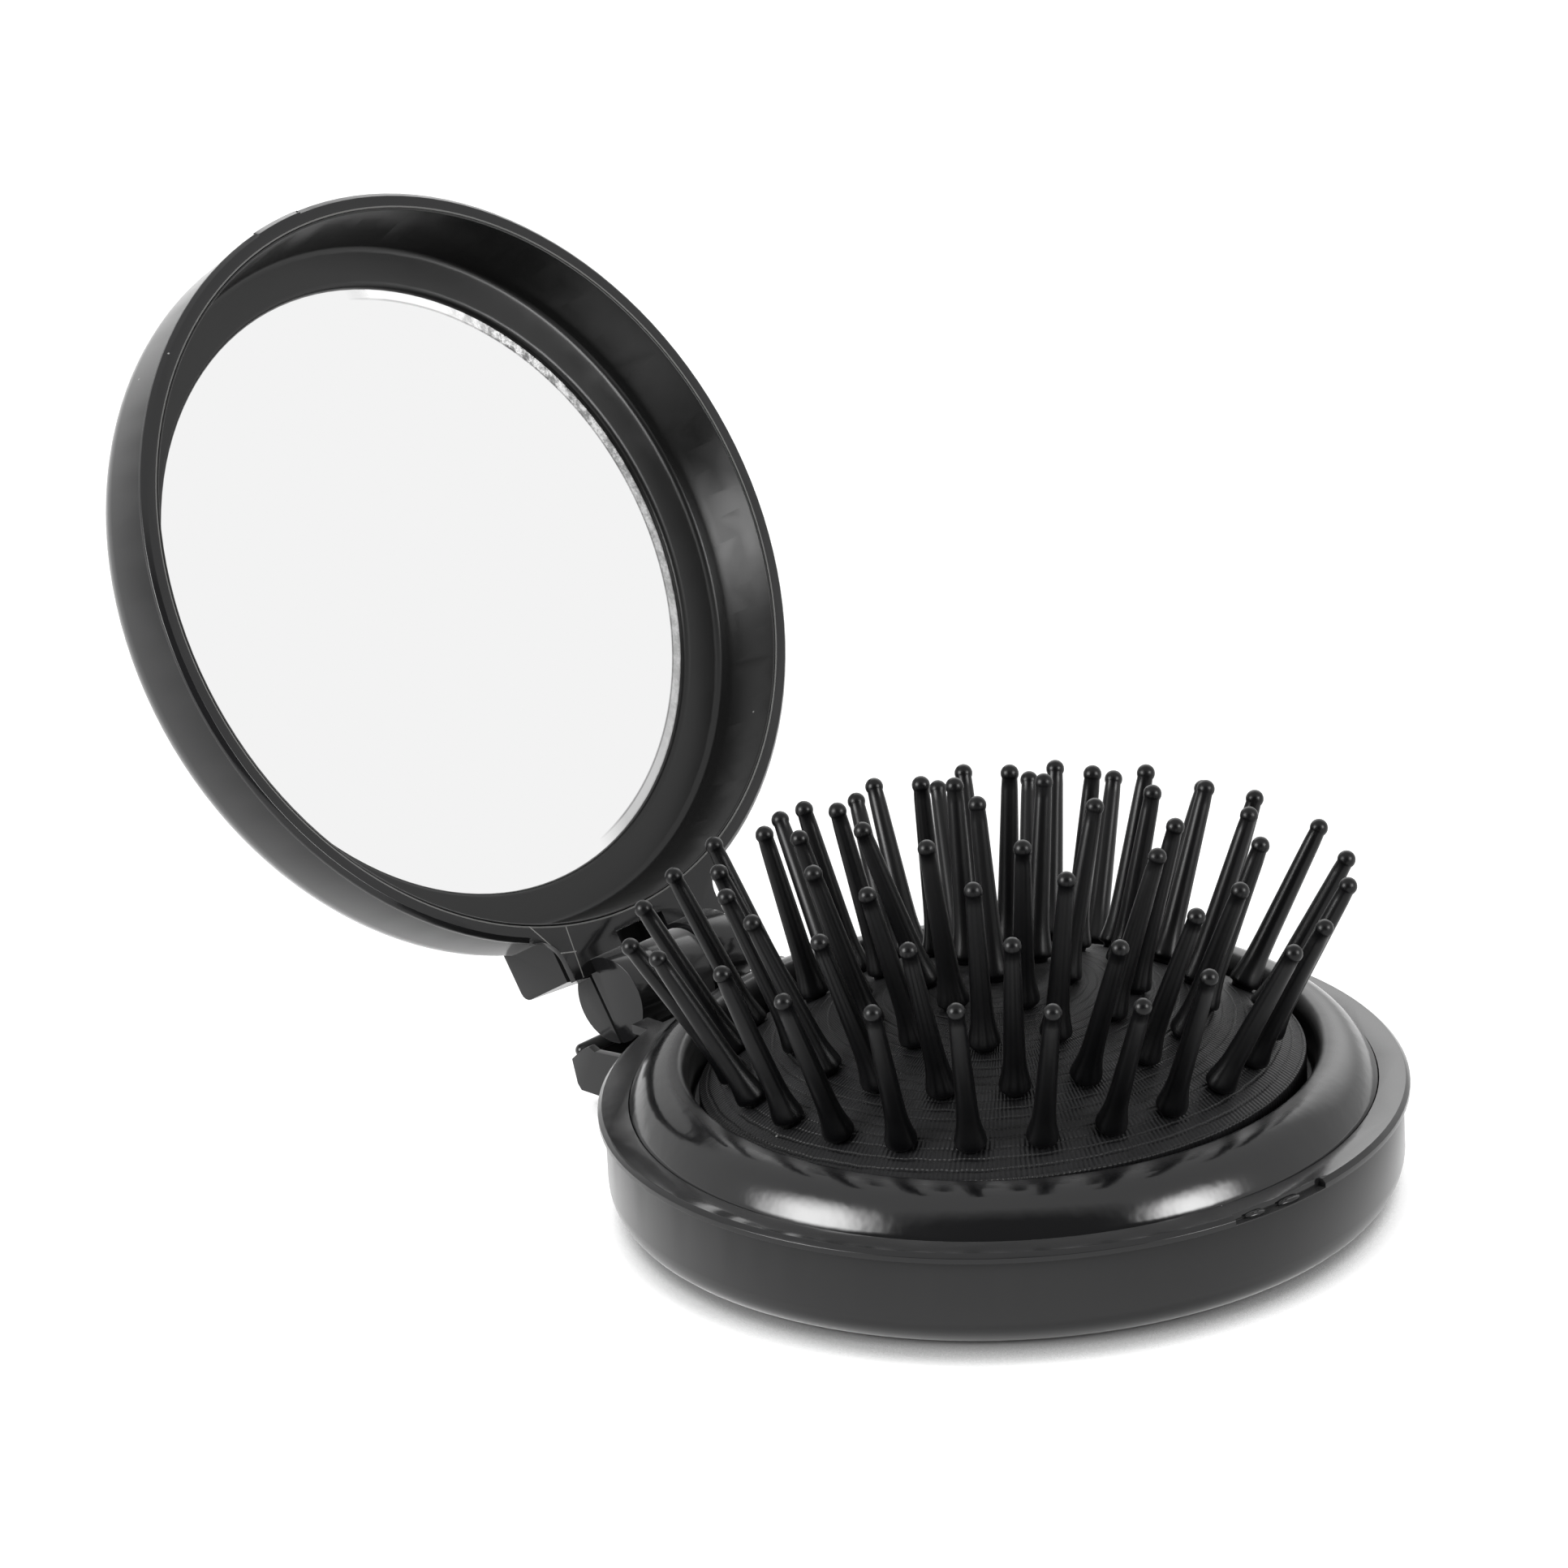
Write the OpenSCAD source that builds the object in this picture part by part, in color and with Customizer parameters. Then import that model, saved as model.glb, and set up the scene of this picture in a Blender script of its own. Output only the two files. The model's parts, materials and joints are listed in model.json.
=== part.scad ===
// Folding pocket hairbrush with a mirror.
// The round base holds a brush head that stands up while the lid is open.
// The hinged lid holds the mirror. As it closes, the head goes down into the base
// and its button comes level with the underside.
// Frame: origin at the centre of the resting face, +Z up, hinge towards -X.
// The lid is drawn in its own frame, closed, and then turned open about the hinge.

/* [Rims] */
// Outer radius of the rim plate on the base and on the lid
rim_r = 32.5; // [31.5:0.1:40]
// Thickness of each rim plate
rim_t = 0.95; // [0.8:0.05:1.3]
// Bevel round the outer edge of each rim plate
rim_bevel = 0.35; // [0.1:0.05:0.5]
// How far the shell walls stand inside the rim edge
wall_inset = 0.55; // [0.3:0.05:0.9]
// Thickness of the shell walls
wall_t = 0.8; // [0.6:0.05:1]
// Seam between a rim plate and its shell
seam = 0.08; // [0.05:0.01:0.15]
// Gap between the two rim plates of the closed brush
closed_gap = 0.1; // [0.05:0.01:0.2]

/* [Base] */
// Height of the base from its resting face to the parting plane
base_h = 8.5; // [8.3:0.1:11]
// Width of the base's rim face, from its edge to the bezel
base_rim_w = 2.53; // [2:0.01:3.2]
// Fillet round the underside of the base
base_fillet = 2.6; // [1.5:0.1:3]
// Thickness of the base floor
floor_t = 1.2; // [1:0.1:1.4]
// Radius of the button opening in the floor
well_r = 17; // [12:0.5:19]

/* [Bezel] */
// Width of the bezel from its foot to its crest
bezel_out_w = 2.67; // [2.2:0.01:3.2]
// Width of the bezel from its crest to its inner edge
bezel_in_w = 2.23; // [1.8:0.01:2.6]
// Height of the crest above the rim plate
bezel_crest_h = 3.3; // [2.6:0.1:4]
// Height of the inner edge above the rim plate
bezel_lip_h = 2.12; // [1.5:0.02:2.5]
// Thickness of the bezel's lip
bezel_lip_t = 1.1; // [0.9:0.1:1.3]
// Thickness of the sleeve that guides the head
sleeve_t = 1.2; // [0.9:0.1:1.5]

/* [Lid] */
// Thickness of the lid's back behind the mirror's edge
lid_back_t = 0.5; // [0.4:0.05:1]
// Extra depth at the crown of the back
lid_crown = 0.9; // [0.3:0.1:2]
// Fillet round the back of the lid
lid_fillet = 3; // [2:0.1:3.2]
// Depth of the cup from the rim face to its floor
cup_depth = 6.23; // [5.6:0.01:6.4]
// How much the cup narrows from mouth to floor
cup_draft = 0.97; // [0.5:0.01:1.3]
// Width of the liner's edge seen inside the rim face
liner_lip = 0.18; // [0.12:0.01:0.3]

/* [Mirror] */
// Width of the floor ring between the cup's wall and the mirror
floor_ring_w = 3.61; // [2.6:0.01:6]
// Width of mirror under the edge of the floor ring
mirror_lap = 0.6; // [0.3:0.1:0.8]
// Depth of the mirror below the floor ring
mirror_drop = 0.7; // [0.5:0.05:0.8]
// Thickness of the mirror
mirror_t = 0.85; // [0.7:0.05:1]
// Thickness of the adhesive sheet behind the mirror
tape_t = 0.12; // [0.1:0.01:0.2]

/* [Hinge] */
// Distance of the hinge axis from the edge of the rims
hinge_out = 4.9; // [4.6:0.1:8]
// Angle of the open lid
open_deg = 121.4; // [95:0.1:125]
// Radius of the lid's knuckles
knuckle_r = 3.7; // [3.4:0.05:4]
// Outer width across the two lid knuckles
knuckle_w = 12.94; // [12:0.02:14]
// Radius of the base's middle knuckle
mid_r = 3.3; // [2.8:0.05:3.4]
// Width of the base's middle knuckle
mid_w = 5; // [4:0.1:5.4]
// Side clearance between neighbouring knuckles
side_gap = 0.2; // [0.15:0.05:0.3]
// Radius of the hinge pin
pin_r = 1; // [0.8:0.05:1.2]
// Radial clearance of the pin in the lid knuckles
pin_run = 0.05; // [0.02:0.01:0.1]
// Radial clearance of the pin in the middle knuckle
pin_hold = 0.02; // [0.01:0.01:0.04]
// Width of the hinge lugs on each side of the knuckles
lug_shoulder = 2.43; // [2:0.01:3.5]
// Gap between the hinge axis and the end of the lid lug
lug_back = 2.4; // [2.2:0.1:2.8]
// Room between the middle knuckle and the lid's slot
slot_gap = 1.7; // [1.2:0.1:2]
// Height of the lid's back edge above its lug
lug_step = 1.4; // [1:0.1:2.5]
// Fillet where the rim plate widens into the lug
lug_fillet = 2.5; // [1.5:0.1:3]
// Radius of the lug's outer corner
lug_corner = 0.8; // [0.4:0.1:1.2]
// Clearance between the tray and the turning knuckles
tray_gap = 0.45; // [0.35:0.05:0.6]
// Wall of the tray under the hinge
tray_wall = 1.1; // [0.9:0.1:1.4]
// How far the tray reaches past the hinge axis
tray_out = 2.4; // [2:0.1:3]
// Height of the tray's underside above the resting face
tray_low = 1; // [0.5:0.1:1.5]
// How far the base's rim plate is cut back behind the knuckles
rim_notch = 1.65; // [1.2:0.05:2]

/* [Catch] */
// Angle of the thumb tab and catch from the front of the brush
catch_deg = -6; // [-12:1:0]
// Width of the thumb tab, as an angle
tab_deg = 9; // [6:1:14]
// How far the thumb tab stands past the rim
tab_out = 0.35; // [0.2:0.05:0.6]
// Width of the catch recess in the base rim, as an angle
recess_deg = 17; // [15:1:24]
// Radial depth of the catch recess
recess_in = 0.7; // [0.5:0.05:0.9]
// Drop of the catch recess below the rim face
recess_drop = 0.55; // [0.4:0.05:0.7]

/* [Brush head] */
// Gap between the cushion's edge and the bezel
cushion_gap = 0.77; // [0.65:0.01:1.5]
// Height of the cushion's edge above the rim plate, at its middle
cushion_edge_h = 1.78; // [1.6:0.01:2.1]
// Thickness of the cushion at its edge, at its middle
cushion_edge_t = 1.98; // [1.9:0.01:2.2]
// Lean of the cushion's face down toward the hinge
cushion_lean = 2.8; // [0:0.1:3.2]
// Radius of the cushion's outer face
cushion_sphere_r = 43.5; // [40:0.1:55]
// Thickness of the cushion
cushion_t = 1.8; // [1.4:0.1:2.2]
// Width of the cushion's foot on the carrier
cushion_foot_w = 2.6; // [2:0.1:3]
// Clearance of the head in its sleeve
head_gap = 0.3; // [0.25:0.05:0.5]
// Thickness of the head's carrier plate
carrier_t = 0.8; // [0.7:0.1:1]
// Gap between the lowered carrier and the floor
land_gap = 0.1; // [0.05:0.05:0.2]
// Recess of the button in the closed brush
button_recess = 0.3; // [0.2:0.05:0.5]
// Clearance round the button in its opening
button_gap = 0.4; // [0.3:0.05:0.6]
// Depth of the finger dish in the button
dish_h = 0.5; // [0.3:0.05:0.6]

/* [Bristles] */
// Distance from a bristle's foot to the centre of its ball
bristle_l = 14.3; // [12:0.1:15.5]
// Radius of a bristle at its top
bristle_tip_r = 0.6; // [0.4:0.05:0.65]
// Radius of a bristle above its collar
bristle_root_r = 0.78; // [0.6:0.02:0.9]
// Radius of the collar at the foot
collar_r = 1.3; // [1:0.05:1.5]
// Height of the collar
collar_h = 2.6; // [1.5:0.1:3]
// Radius of the ball tip
ball_r = 0.75; // [0.65:0.05:0.9]
// Distance of the outer ring of bristles from the cushion's edge
ring_edge = 3; // [2.4:0.1:4]

/* [Hidden] */
$fn = 96;
EPS = 0.01;

// shells
fit = 0.05;                              // clearance between pieces of one body
wall_r = rim_r - wall_inset;
inner_r = wall_r - wall_t;

// bezel
bezel_foot_r = rim_r - base_rim_w;
bezel_crest_r = bezel_foot_r - bezel_out_w;
bezel_mouth_r = bezel_crest_r - bezel_in_w;

// lid, in depths below its rim face
cup_outer_r = inner_r - fit;
cup_mouth_r = cup_outer_r - liner_lip;
cup_floor_r = cup_mouth_r - cup_draft;
cup_corner = 0.6;                        // fillet between the cup's wall and its floor
wall_lean = atan(cup_draft / cup_depth);
mirror_view_r = cup_floor_r - floor_ring_w;
mirror_r = mirror_view_r + mirror_lap;
ring_round = 0.55;                       // rounding of the floor ring's inner edge
mirror_z = cup_depth + mirror_drop;
lid_floor_z = mirror_z + mirror_t + tape_t;
lid_h = lid_floor_z + lid_back_t;
lid_back_r = wall_r - lid_fillet;
lid_inner_fillet = lid_fillet - wall_t;
liner_back_z = lid_h - wall_t - fit;

// head, at rest with the lid open
cushion_r = bezel_mouth_r - cushion_gap;
cushion_z = base_h + cushion_edge_h - cushion_edge_t;
carrier_z = cushion_z - carrier_t;
travel = carrier_z - floor_t - land_gap;
button_z = travel + button_recess;
head_r = bezel_mouth_r - head_gap;
button_r = well_r - button_gap;
dome_drop = sqrt(pow(cushion_sphere_r, 2) - pow(cushion_r, 2)); // centre of the face's sphere below its edge
dome_centre_x = dome_drop * sin(cushion_lean);
dome_centre_z = base_h + cushion_edge_h - dome_drop * cos(cushion_lean);
dome_top_z = dome_centre_z + cushion_sphere_r;
ring_lean = asin((cushion_r - ring_edge) / cushion_sphere_r) / 4; // lean of one ring more than the last
ring_turn = [0, -24.4, -23, -3.4, -9.3]; // turn of the centre bristle and of each ring

// hinge
hinge_x = rim_r + hinge_out;
axis_z = base_h + closed_gap / 2;
lid_axis_z = -closed_gap / 2;            // the same axis, in the closed lid's frame
slot_x = hinge_x - mid_r - slot_gap;
lug_end = hinge_x - lug_back;
lug_w = knuckle_w + 2 * lug_shoulder;
lug_h = lid_h - lug_step;
tray_reach = hinge_x + tray_out;
knuckle_in = mid_w / 2 + side_gap;
pin_l = knuckle_w - 2.2;
bore_l = pin_l + 0.4;
bore_r = pin_r + pin_run;
mid_bore_r = pin_r + pin_hold;

// ---------- helpers ----------

// points of an arc about c
function arc(c, r, a0, a1, n = 8) =
    [for (i = [0:n]) let (a = a0 + (a1 - a0) * i / n) c + r * [cos(a), sin(a)]];

// draws its children, given in the closed lid's frame, on the open lid
module on_lid()
    translate([-hinge_x, 0, axis_z])
        rotate([0, -open_deg, 0])
            translate([hinge_x, 0, -lid_axis_z])
                children();

// cylinder on the hinge axis, between two places along Y
module along_axis(r, y0, y1, z)
    translate([-hinge_x, y1, z])
        rotate([90, 0, 0])
            cylinder(r = r, h = y1 - y0);

// both sides of the brush
module both_sides() {
    children();
    mirror([0, 1, 0]) children();
}

// flat plate between the rim circle and the hinge, with a fillet on each side
module rim_ear(z0, t, reach, half_w, fillet) {
    fillet_x = sqrt(pow(rim_r + fillet, 2) - pow(half_w + fillet, 2));
    web_x = fillet_x * rim_r / (rim_r + fillet) - 1;
    translate([-reach, -half_w, z0]) cube([reach - web_x, 2 * half_w, t]);
    both_sides() difference() {
        translate([-fillet_x, half_w - EPS, z0]) cube([fillet_x - web_x, fillet, t]);
        translate([-fillet_x, half_w + fillet, z0 - 1]) cylinder(r = fillet, h = t + 2);
    }
}

// sector of a disc, centred on the catch
module catch_sector(r, deg, z0, h)
    rotate([0, 0, catch_deg - deg / 2])
        rotate_extrude(angle = deg)
            translate([0, z0]) square([r, h]);

// ---------- base ----------

module base_shell() color("#1d1d1f") {
    top_z = base_h - rim_t - seam;
    outer = concat([[well_r, 0]],
                   arc([wall_r - base_fillet, base_fillet], base_fillet, -90, 0),
                   [[wall_r, top_z], [inner_r, top_z], [inner_r, floor_t], [well_r, floor_t]]);
    difference() {
        union() {
            rotate_extrude($fn = 180) polygon(outer);
            difference() {
                base_tray();
                translate([0, 0, -1]) cylinder(r = inner_r + wall_t / 2, h = base_h + 2, $fn = 180);
            }
        }
        along_axis(mid_bore_r, -mid_w, mid_w, axis_z);
    }
}

// low tray under the lid's knuckles, with the middle knuckle that holds the pin
module base_tray() {
    top = axis_z - knuckle_r;
    swing = knuckle_r + tray_gap;
    outline = [[inner_r, tray_low], [tray_reach - 0.9, tray_low], [tray_reach - 0.5, tray_low + 0.5],
               [tray_reach, top - 1.3], [tray_reach - 1.3, top - 0.1], [tray_reach - 2, top + 0.3],
               [tray_reach - 2.7, top], [inner_r, top + 0.6]];
    pocket_w = knuckle_w + 2 * side_gap + 1.4;
    difference() {
        translate([0, lug_w / 2, 0])
            rotate([90, 0, 0])
                linear_extrude(lug_w)
                    polygon([for (p = outline) [-p[0], p[1]]]);
        translate([-tray_reach + tray_wall, -pocket_w / 2, tray_low + tray_wall])
            cube([tray_reach - inner_r - tray_wall, pocket_w, base_h]);
        along_axis(swing, -pocket_w / 2, pocket_w / 2, axis_z);
    }
    along_axis(mid_r, -mid_w / 2, mid_w / 2, axis_z);
    translate([-hinge_x - mid_r, -mid_w / 2, tray_low]) cube([2 * mid_r, mid_w, axis_z - tray_low]);
    translate([-hinge_x, -mid_w / 2, tray_low]) cube([hinge_x - inner_r, mid_w, top - tray_low]);
}

module base_rim() color("#232325") {
    inner = bezel_foot_r + fit;
    z0 = base_h - rim_t;
    notch_w = knuckle_w + 1.2;
    corner_out = 0.1;
    difference() {
        union() {
            rotate_extrude($fn = 180)
                polygon([[inner, z0], [rim_r, z0], [rim_r, base_h - rim_bevel],
                         [rim_r - rim_bevel, base_h], [inner, base_h]]);
            both_sides()
                translate([-rim_r - corner_out, notch_w / 2 - 0.5, z0])
                    cube([rim_notch, (lug_w - notch_w) / 2 + 0.5, rim_t]);
        }
        translate([-hinge_x, -notch_w / 2, z0 - 1])
            cube([hinge_x - rim_r + rim_notch, notch_w, rim_t + 2]);
        difference() {
            catch_sector(rim_r + 1, recess_deg, base_h - recess_drop, 1);
            cylinder(r = rim_r - recess_in, h = base_h + 1, $fn = 180);
        }
    }
}

module bezel() color("#141416") {
    foot = base_h - rim_t;
    crest = base_h + bezel_crest_h;
    lip = base_h + bezel_lip_h;
    flank = [for (a = [0:10:90]) [bezel_crest_r + bezel_out_w * cos(a), base_h + bezel_crest_h * sin(a)]];
    throat = [for (a = [80:-10:0]) [bezel_crest_r - bezel_in_w * cos(a), lip + (crest - lip) * sin(a)]];
    sleeve_r = bezel_mouth_r + sleeve_t;
    under = [for (a = [90:-15:0]) [sleeve_r + (bezel_foot_r - sleeve_r - bezel_lip_t) * cos(a),
                                   foot + (crest - bezel_lip_t - foot) * sin(a)]];
    rotate_extrude($fn = 180)
        polygon(concat([[bezel_foot_r, foot]], flank, throat,
                       [[bezel_mouth_r, floor_t], [sleeve_r, floor_t]], under));
}

module hinge_pin() color("#b8b8b8")
    along_axis(pin_r, -pin_l / 2, pin_l / 2, axis_z);

// ---------- lid ----------

module lid_shell() color("#1d1d1f") on_lid() {
    z0 = rim_t + seam;
    crown = [for (i = [1:6]) let (share = 1 - i / 6) [lid_back_r * share, lid_h + lid_crown * (1 - share * share)]];
    outer = concat([[inner_r, z0], [wall_r, z0]],
                   arc([lid_back_r, lid_h - lid_fillet], lid_fillet, 0, 90),
                   crown,
                   [[0, lid_floor_z], [mirror_r + 0.3, lid_floor_z], [mirror_r + 0.3, lid_h - wall_t]],
                   arc([lid_back_r, lid_h - lid_fillet], lid_inner_fillet, 90, 0));
    difference() {
        union() {
            rotate_extrude($fn = 180) polygon(outer);
            difference() {
                translate([0, lug_w / 2, 0])
                    rotate([90, 0, 0])
                        linear_extrude(lug_w)
                            polygon(concat([[-inner_r + 4, z0], [-lug_end, z0]],
                                           arc([-lug_end + lug_corner, lug_h - lug_corner], lug_corner, 180, 90, 4),
                                           [[-inner_r + 4, lug_h]]));
                translate([0, 0, -1]) cylinder(r = inner_r + wall_t / 2, h = lid_h + 2, $fn = 180);
            }
            lid_knuckles(z0, 2 * knuckle_r);
        }
        hinge_slot();
        along_axis(bore_r, -bore_l / 2, bore_l / 2, lid_axis_z);
    }
}

// the two knuckles, between two heights
module lid_knuckles(z0, z1)
    both_sides() intersection() {
        along_axis(knuckle_r, knuckle_in, knuckle_w / 2, lid_axis_z);
        translate([-hinge_x - knuckle_r, 0, z0]) cube([2 * knuckle_r, knuckle_w, z1 - z0]);
    }

// room for the base's middle knuckle
module hinge_slot()
    translate([-hinge_x - 2 * knuckle_r, -knuckle_in, -2 * knuckle_r])
        cube([hinge_x + 2 * knuckle_r - slot_x, 2 * knuckle_in, 4 * knuckle_r + lid_h]);

module lid_rim() color("#232325") on_lid() {
    difference() {
        union() {
            rotate_extrude($fn = 180)
                polygon([[inner_r, 0], [rim_r - rim_bevel, 0], [rim_r, rim_bevel], [rim_r, rim_t], [inner_r, rim_t]]);
            difference() {
                rim_ear(0, rim_t, lug_end - 0.2, lug_w / 2, lug_fillet);
                translate([0, 0, -1]) cylinder(r = inner_r + 0.5, h = rim_t + 2, $fn = 180);
            }
            difference() {
                catch_sector(rim_r + tab_out, tab_deg, 0, rim_t);
                translate([0, 0, -1]) cylinder(r = inner_r + 0.5, h = rim_t + 2, $fn = 180);
            }
            lid_knuckles(-2 * knuckle_r, rim_t);
        }
        hinge_slot();
        along_axis(bore_r, -bore_l / 2, bore_l / 2, lid_axis_z);
    }
}

module mirror_cup() color("#161618") on_lid() {
    rotate_extrude($fn = 180)
        polygon(concat([[cup_outer_r, 0], [cup_mouth_r, 0]],
                       arc([cup_floor_r - cup_corner, cup_depth - cup_corner], cup_corner, 2 * wall_lean, 90, 4),
                       arc([mirror_view_r + ring_round, cup_depth + ring_round], ring_round, -90, -180, 4),
                       [[mirror_view_r, mirror_z], [mirror_r + fit, mirror_z], [mirror_r + fit, liner_back_z]],
                       arc([lid_back_r, lid_h - lid_fillet], lid_inner_fillet - fit, 90, 0)));
}

module mirror_plate() color("#e9ebee") on_lid()
    translate([0, 0, mirror_z])
        cylinder(r = mirror_r, h = mirror_t, $fn = 180);

module mirror_tape() color("#c9c9c4") on_lid()
    translate([0, 0, mirror_z + mirror_t])
        cylinder(r = mirror_r - 1, h = tape_t, $fn = 180);

// ---------- brush head ----------

module push_button() color("#1d1d1f") {
    dish_r = button_r - 1.5;
    dish = [for (i = [0:8]) let (r = dish_r * i / 8) [r, button_z + dish_h * (1 - pow(r / dish_r, 2))]];
    rotate_extrude($fn = 180)
        polygon(concat(dish, [[button_r, button_z], [button_r, carrier_z], [0, carrier_z]]));
}

module head_carrier() color("#1a1a1c")
    translate([0, 0, carrier_z])
        difference() {
            cylinder(r = head_r, h = carrier_t, $fn = 180);
            for (a = [30:60:330])
                rotate([0, 0, a]) translate([(button_r + head_r) / 2, 0, -1]) cylinder(r = 1, h = carrier_t + 2);
        }

module cushion() color("#2a2a2b")
    difference() {
        intersection() {
            translate([dome_centre_x, 0, dome_centre_z]) sphere(r = cushion_sphere_r, $fn = 180);
            translate([0, 0, cushion_z]) cylinder(r = cushion_r, h = dome_top_z, $fn = 180);
        }
        intersection() {
            translate([dome_centre_x, 0, dome_centre_z]) sphere(r = cushion_sphere_r - cushion_t, $fn = 180);
            translate([0, 0, cushion_z - 1]) cylinder(r = cushion_r - cushion_foot_w, h = dome_top_z, $fn = 180);
        }
    }

// one bristle along +Z: collar, shaft and ball
module bristle() {
    cylinder(r1 = collar_r, r2 = bristle_root_r, h = collar_h, $fn = 24);
    cylinder(r1 = bristle_root_r, r2 = bristle_tip_r, h = bristle_l, $fn = 24);
    translate([0, 0, bristle_l]) sphere(r = ball_r, $fn = 24);
}

// ring n of bristles that stand square to the cushion; ring 0 is the centre
module bristle_ring(n) color("#101012") {
    count = max(1, 6 * n);
    for (i = [0:count - 1])
        translate([dome_centre_x, 0, dome_centre_z])
            rotate([0, -cushion_lean, 0])
                rotate([0, 0, ring_turn[n] + i * 360 / count])
                    rotate([0, n * ring_lean, 0])
                        translate([0, 0, cushion_sphere_r + EPS])
                            bristle();
}

base_shell();
base_rim();
bezel();
hinge_pin();
lid_shell();
lid_rim();
mirror_cup();
mirror_plate();  // mirror
mirror_tape();
push_button();
head_carrier();
cushion();
bristle_ring(0);  // bristle_centre
bristle_ring(1);  // bristle_ring_1
bristle_ring(2);  // bristle_ring_2
bristle_ring(3);  // bristle_ring_3
bristle_ring(4);  // bristle_ring_4
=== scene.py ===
"""Folding pocket hairbrush with a mirror: the finish of every piece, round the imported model."""

import json
import math
from functools import partial

import bmesh
import bpy
from bpy.props import FloatProperty, FloatVectorProperty, IntProperty, PointerProperty
from mathutils import Matrix, Vector


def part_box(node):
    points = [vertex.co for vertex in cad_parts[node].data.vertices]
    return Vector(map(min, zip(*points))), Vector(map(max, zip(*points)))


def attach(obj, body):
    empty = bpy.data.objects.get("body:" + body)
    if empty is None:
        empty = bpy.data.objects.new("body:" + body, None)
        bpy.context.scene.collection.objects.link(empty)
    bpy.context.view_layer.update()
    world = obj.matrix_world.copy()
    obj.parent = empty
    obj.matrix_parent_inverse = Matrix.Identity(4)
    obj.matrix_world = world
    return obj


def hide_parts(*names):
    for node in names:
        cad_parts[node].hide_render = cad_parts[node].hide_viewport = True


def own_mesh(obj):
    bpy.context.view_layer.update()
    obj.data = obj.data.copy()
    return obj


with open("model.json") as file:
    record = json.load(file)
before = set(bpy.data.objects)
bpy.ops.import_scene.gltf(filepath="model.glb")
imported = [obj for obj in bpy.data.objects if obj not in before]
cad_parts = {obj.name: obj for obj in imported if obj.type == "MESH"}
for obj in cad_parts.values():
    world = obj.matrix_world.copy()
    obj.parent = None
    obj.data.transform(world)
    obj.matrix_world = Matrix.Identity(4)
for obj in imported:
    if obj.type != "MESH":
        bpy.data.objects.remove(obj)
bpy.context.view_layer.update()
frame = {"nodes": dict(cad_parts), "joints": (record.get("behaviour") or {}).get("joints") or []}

bl_info = {
    "name": "Folding Pocket Hairbrush",
    "version": (1, 0, 0),
    "blender": (4, 5, 0),
    "location": "View3D > Sidebar > Hairbrush",
    "description": "Builds the pieces, finishes and stage of a folding pocket hairbrush with a mirror",
    "category": "Mesh",
}

MM = 0.001
TURN = 2 * math.pi
UP = Vector((0, 0, 1))


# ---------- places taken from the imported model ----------


def joint(name):
    """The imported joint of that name."""
    return next(j for j in frame["joints"] if j["name"] == name)


RIM_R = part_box("base_rim")[1].x
RIM_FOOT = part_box("base_rim")[0].z
BASE_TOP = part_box("base_rim")[1].z
BEZEL_FOOT_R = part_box("bezel")[1].x
BEZEL_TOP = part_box("bezel")[1].z
CUSHION_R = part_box("cushion")[1].x
CUSHION_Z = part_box("cushion")[0].z
CUSHION_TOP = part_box("cushion")[1].z
HEAD_DROP = joint("head_slide")["range_m"][0]
HINGE = Vector(joint("lid_hinge")["pos_m"])
OPEN_ANGLE = math.radians(-joint("lid_hinge")["range_deg"][0])
PLATE_GAP = 0.1 * MM  # between the two rim plates of the closed brush

# the closed lid's frame, with its rim face at z = 0 and its depth along +Z, as the open lid
LID_FACE = Vector((0, 0, HINGE.z + PLATE_GAP / 2))
OPENED = Matrix.Translation(HINGE) @ Matrix.Rotation(-OPEN_ANGLE, 4, "Y")
LID_OPEN = OPENED @ Matrix.Translation(LID_FACE - HINGE)
MIRROR_DEPTH = min((LID_OPEN.inverted() @ v.co).z for v in frame["nodes"]["mirror"].data.vertices)


# ---------- settings ----------


def linear(code):
    """A linear colour from an sRGB hex value such as "#1d1d1f"."""
    parts = [int(code[i : i + 2], 16) / 255 for i in (1, 3, 5)]
    return [c / 12.92 if c <= 0.04045 else ((c + 0.055) / 1.055) ** 2.4 for c in parts]


def number(name, description, value, **more):
    """A plain number setting."""
    return FloatProperty(name=name, description=description, default=value, **more)


def length(name, description, millimetres):
    """A length setting, given in millimetres and kept in metres."""
    return number(name, description, millimetres * MM, min=0, precision=6, unit="LENGTH")


def angle(name, description, degrees):
    """An angle setting, given in degrees and kept in radians."""
    return number(name, description, math.radians(degrees), subtype="ANGLE")


def colour(name, description, code):
    """A colour setting, given as an sRGB hex value."""
    return FloatVectorProperty(
        name=name, description=description, default=linear(code), min=0, max=1, size=3, subtype="COLOR"
    )


def count(name, description, value, least):
    """A setting that counts faces."""
    return IntProperty(name=name, description=description, default=value, min=least)


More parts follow.
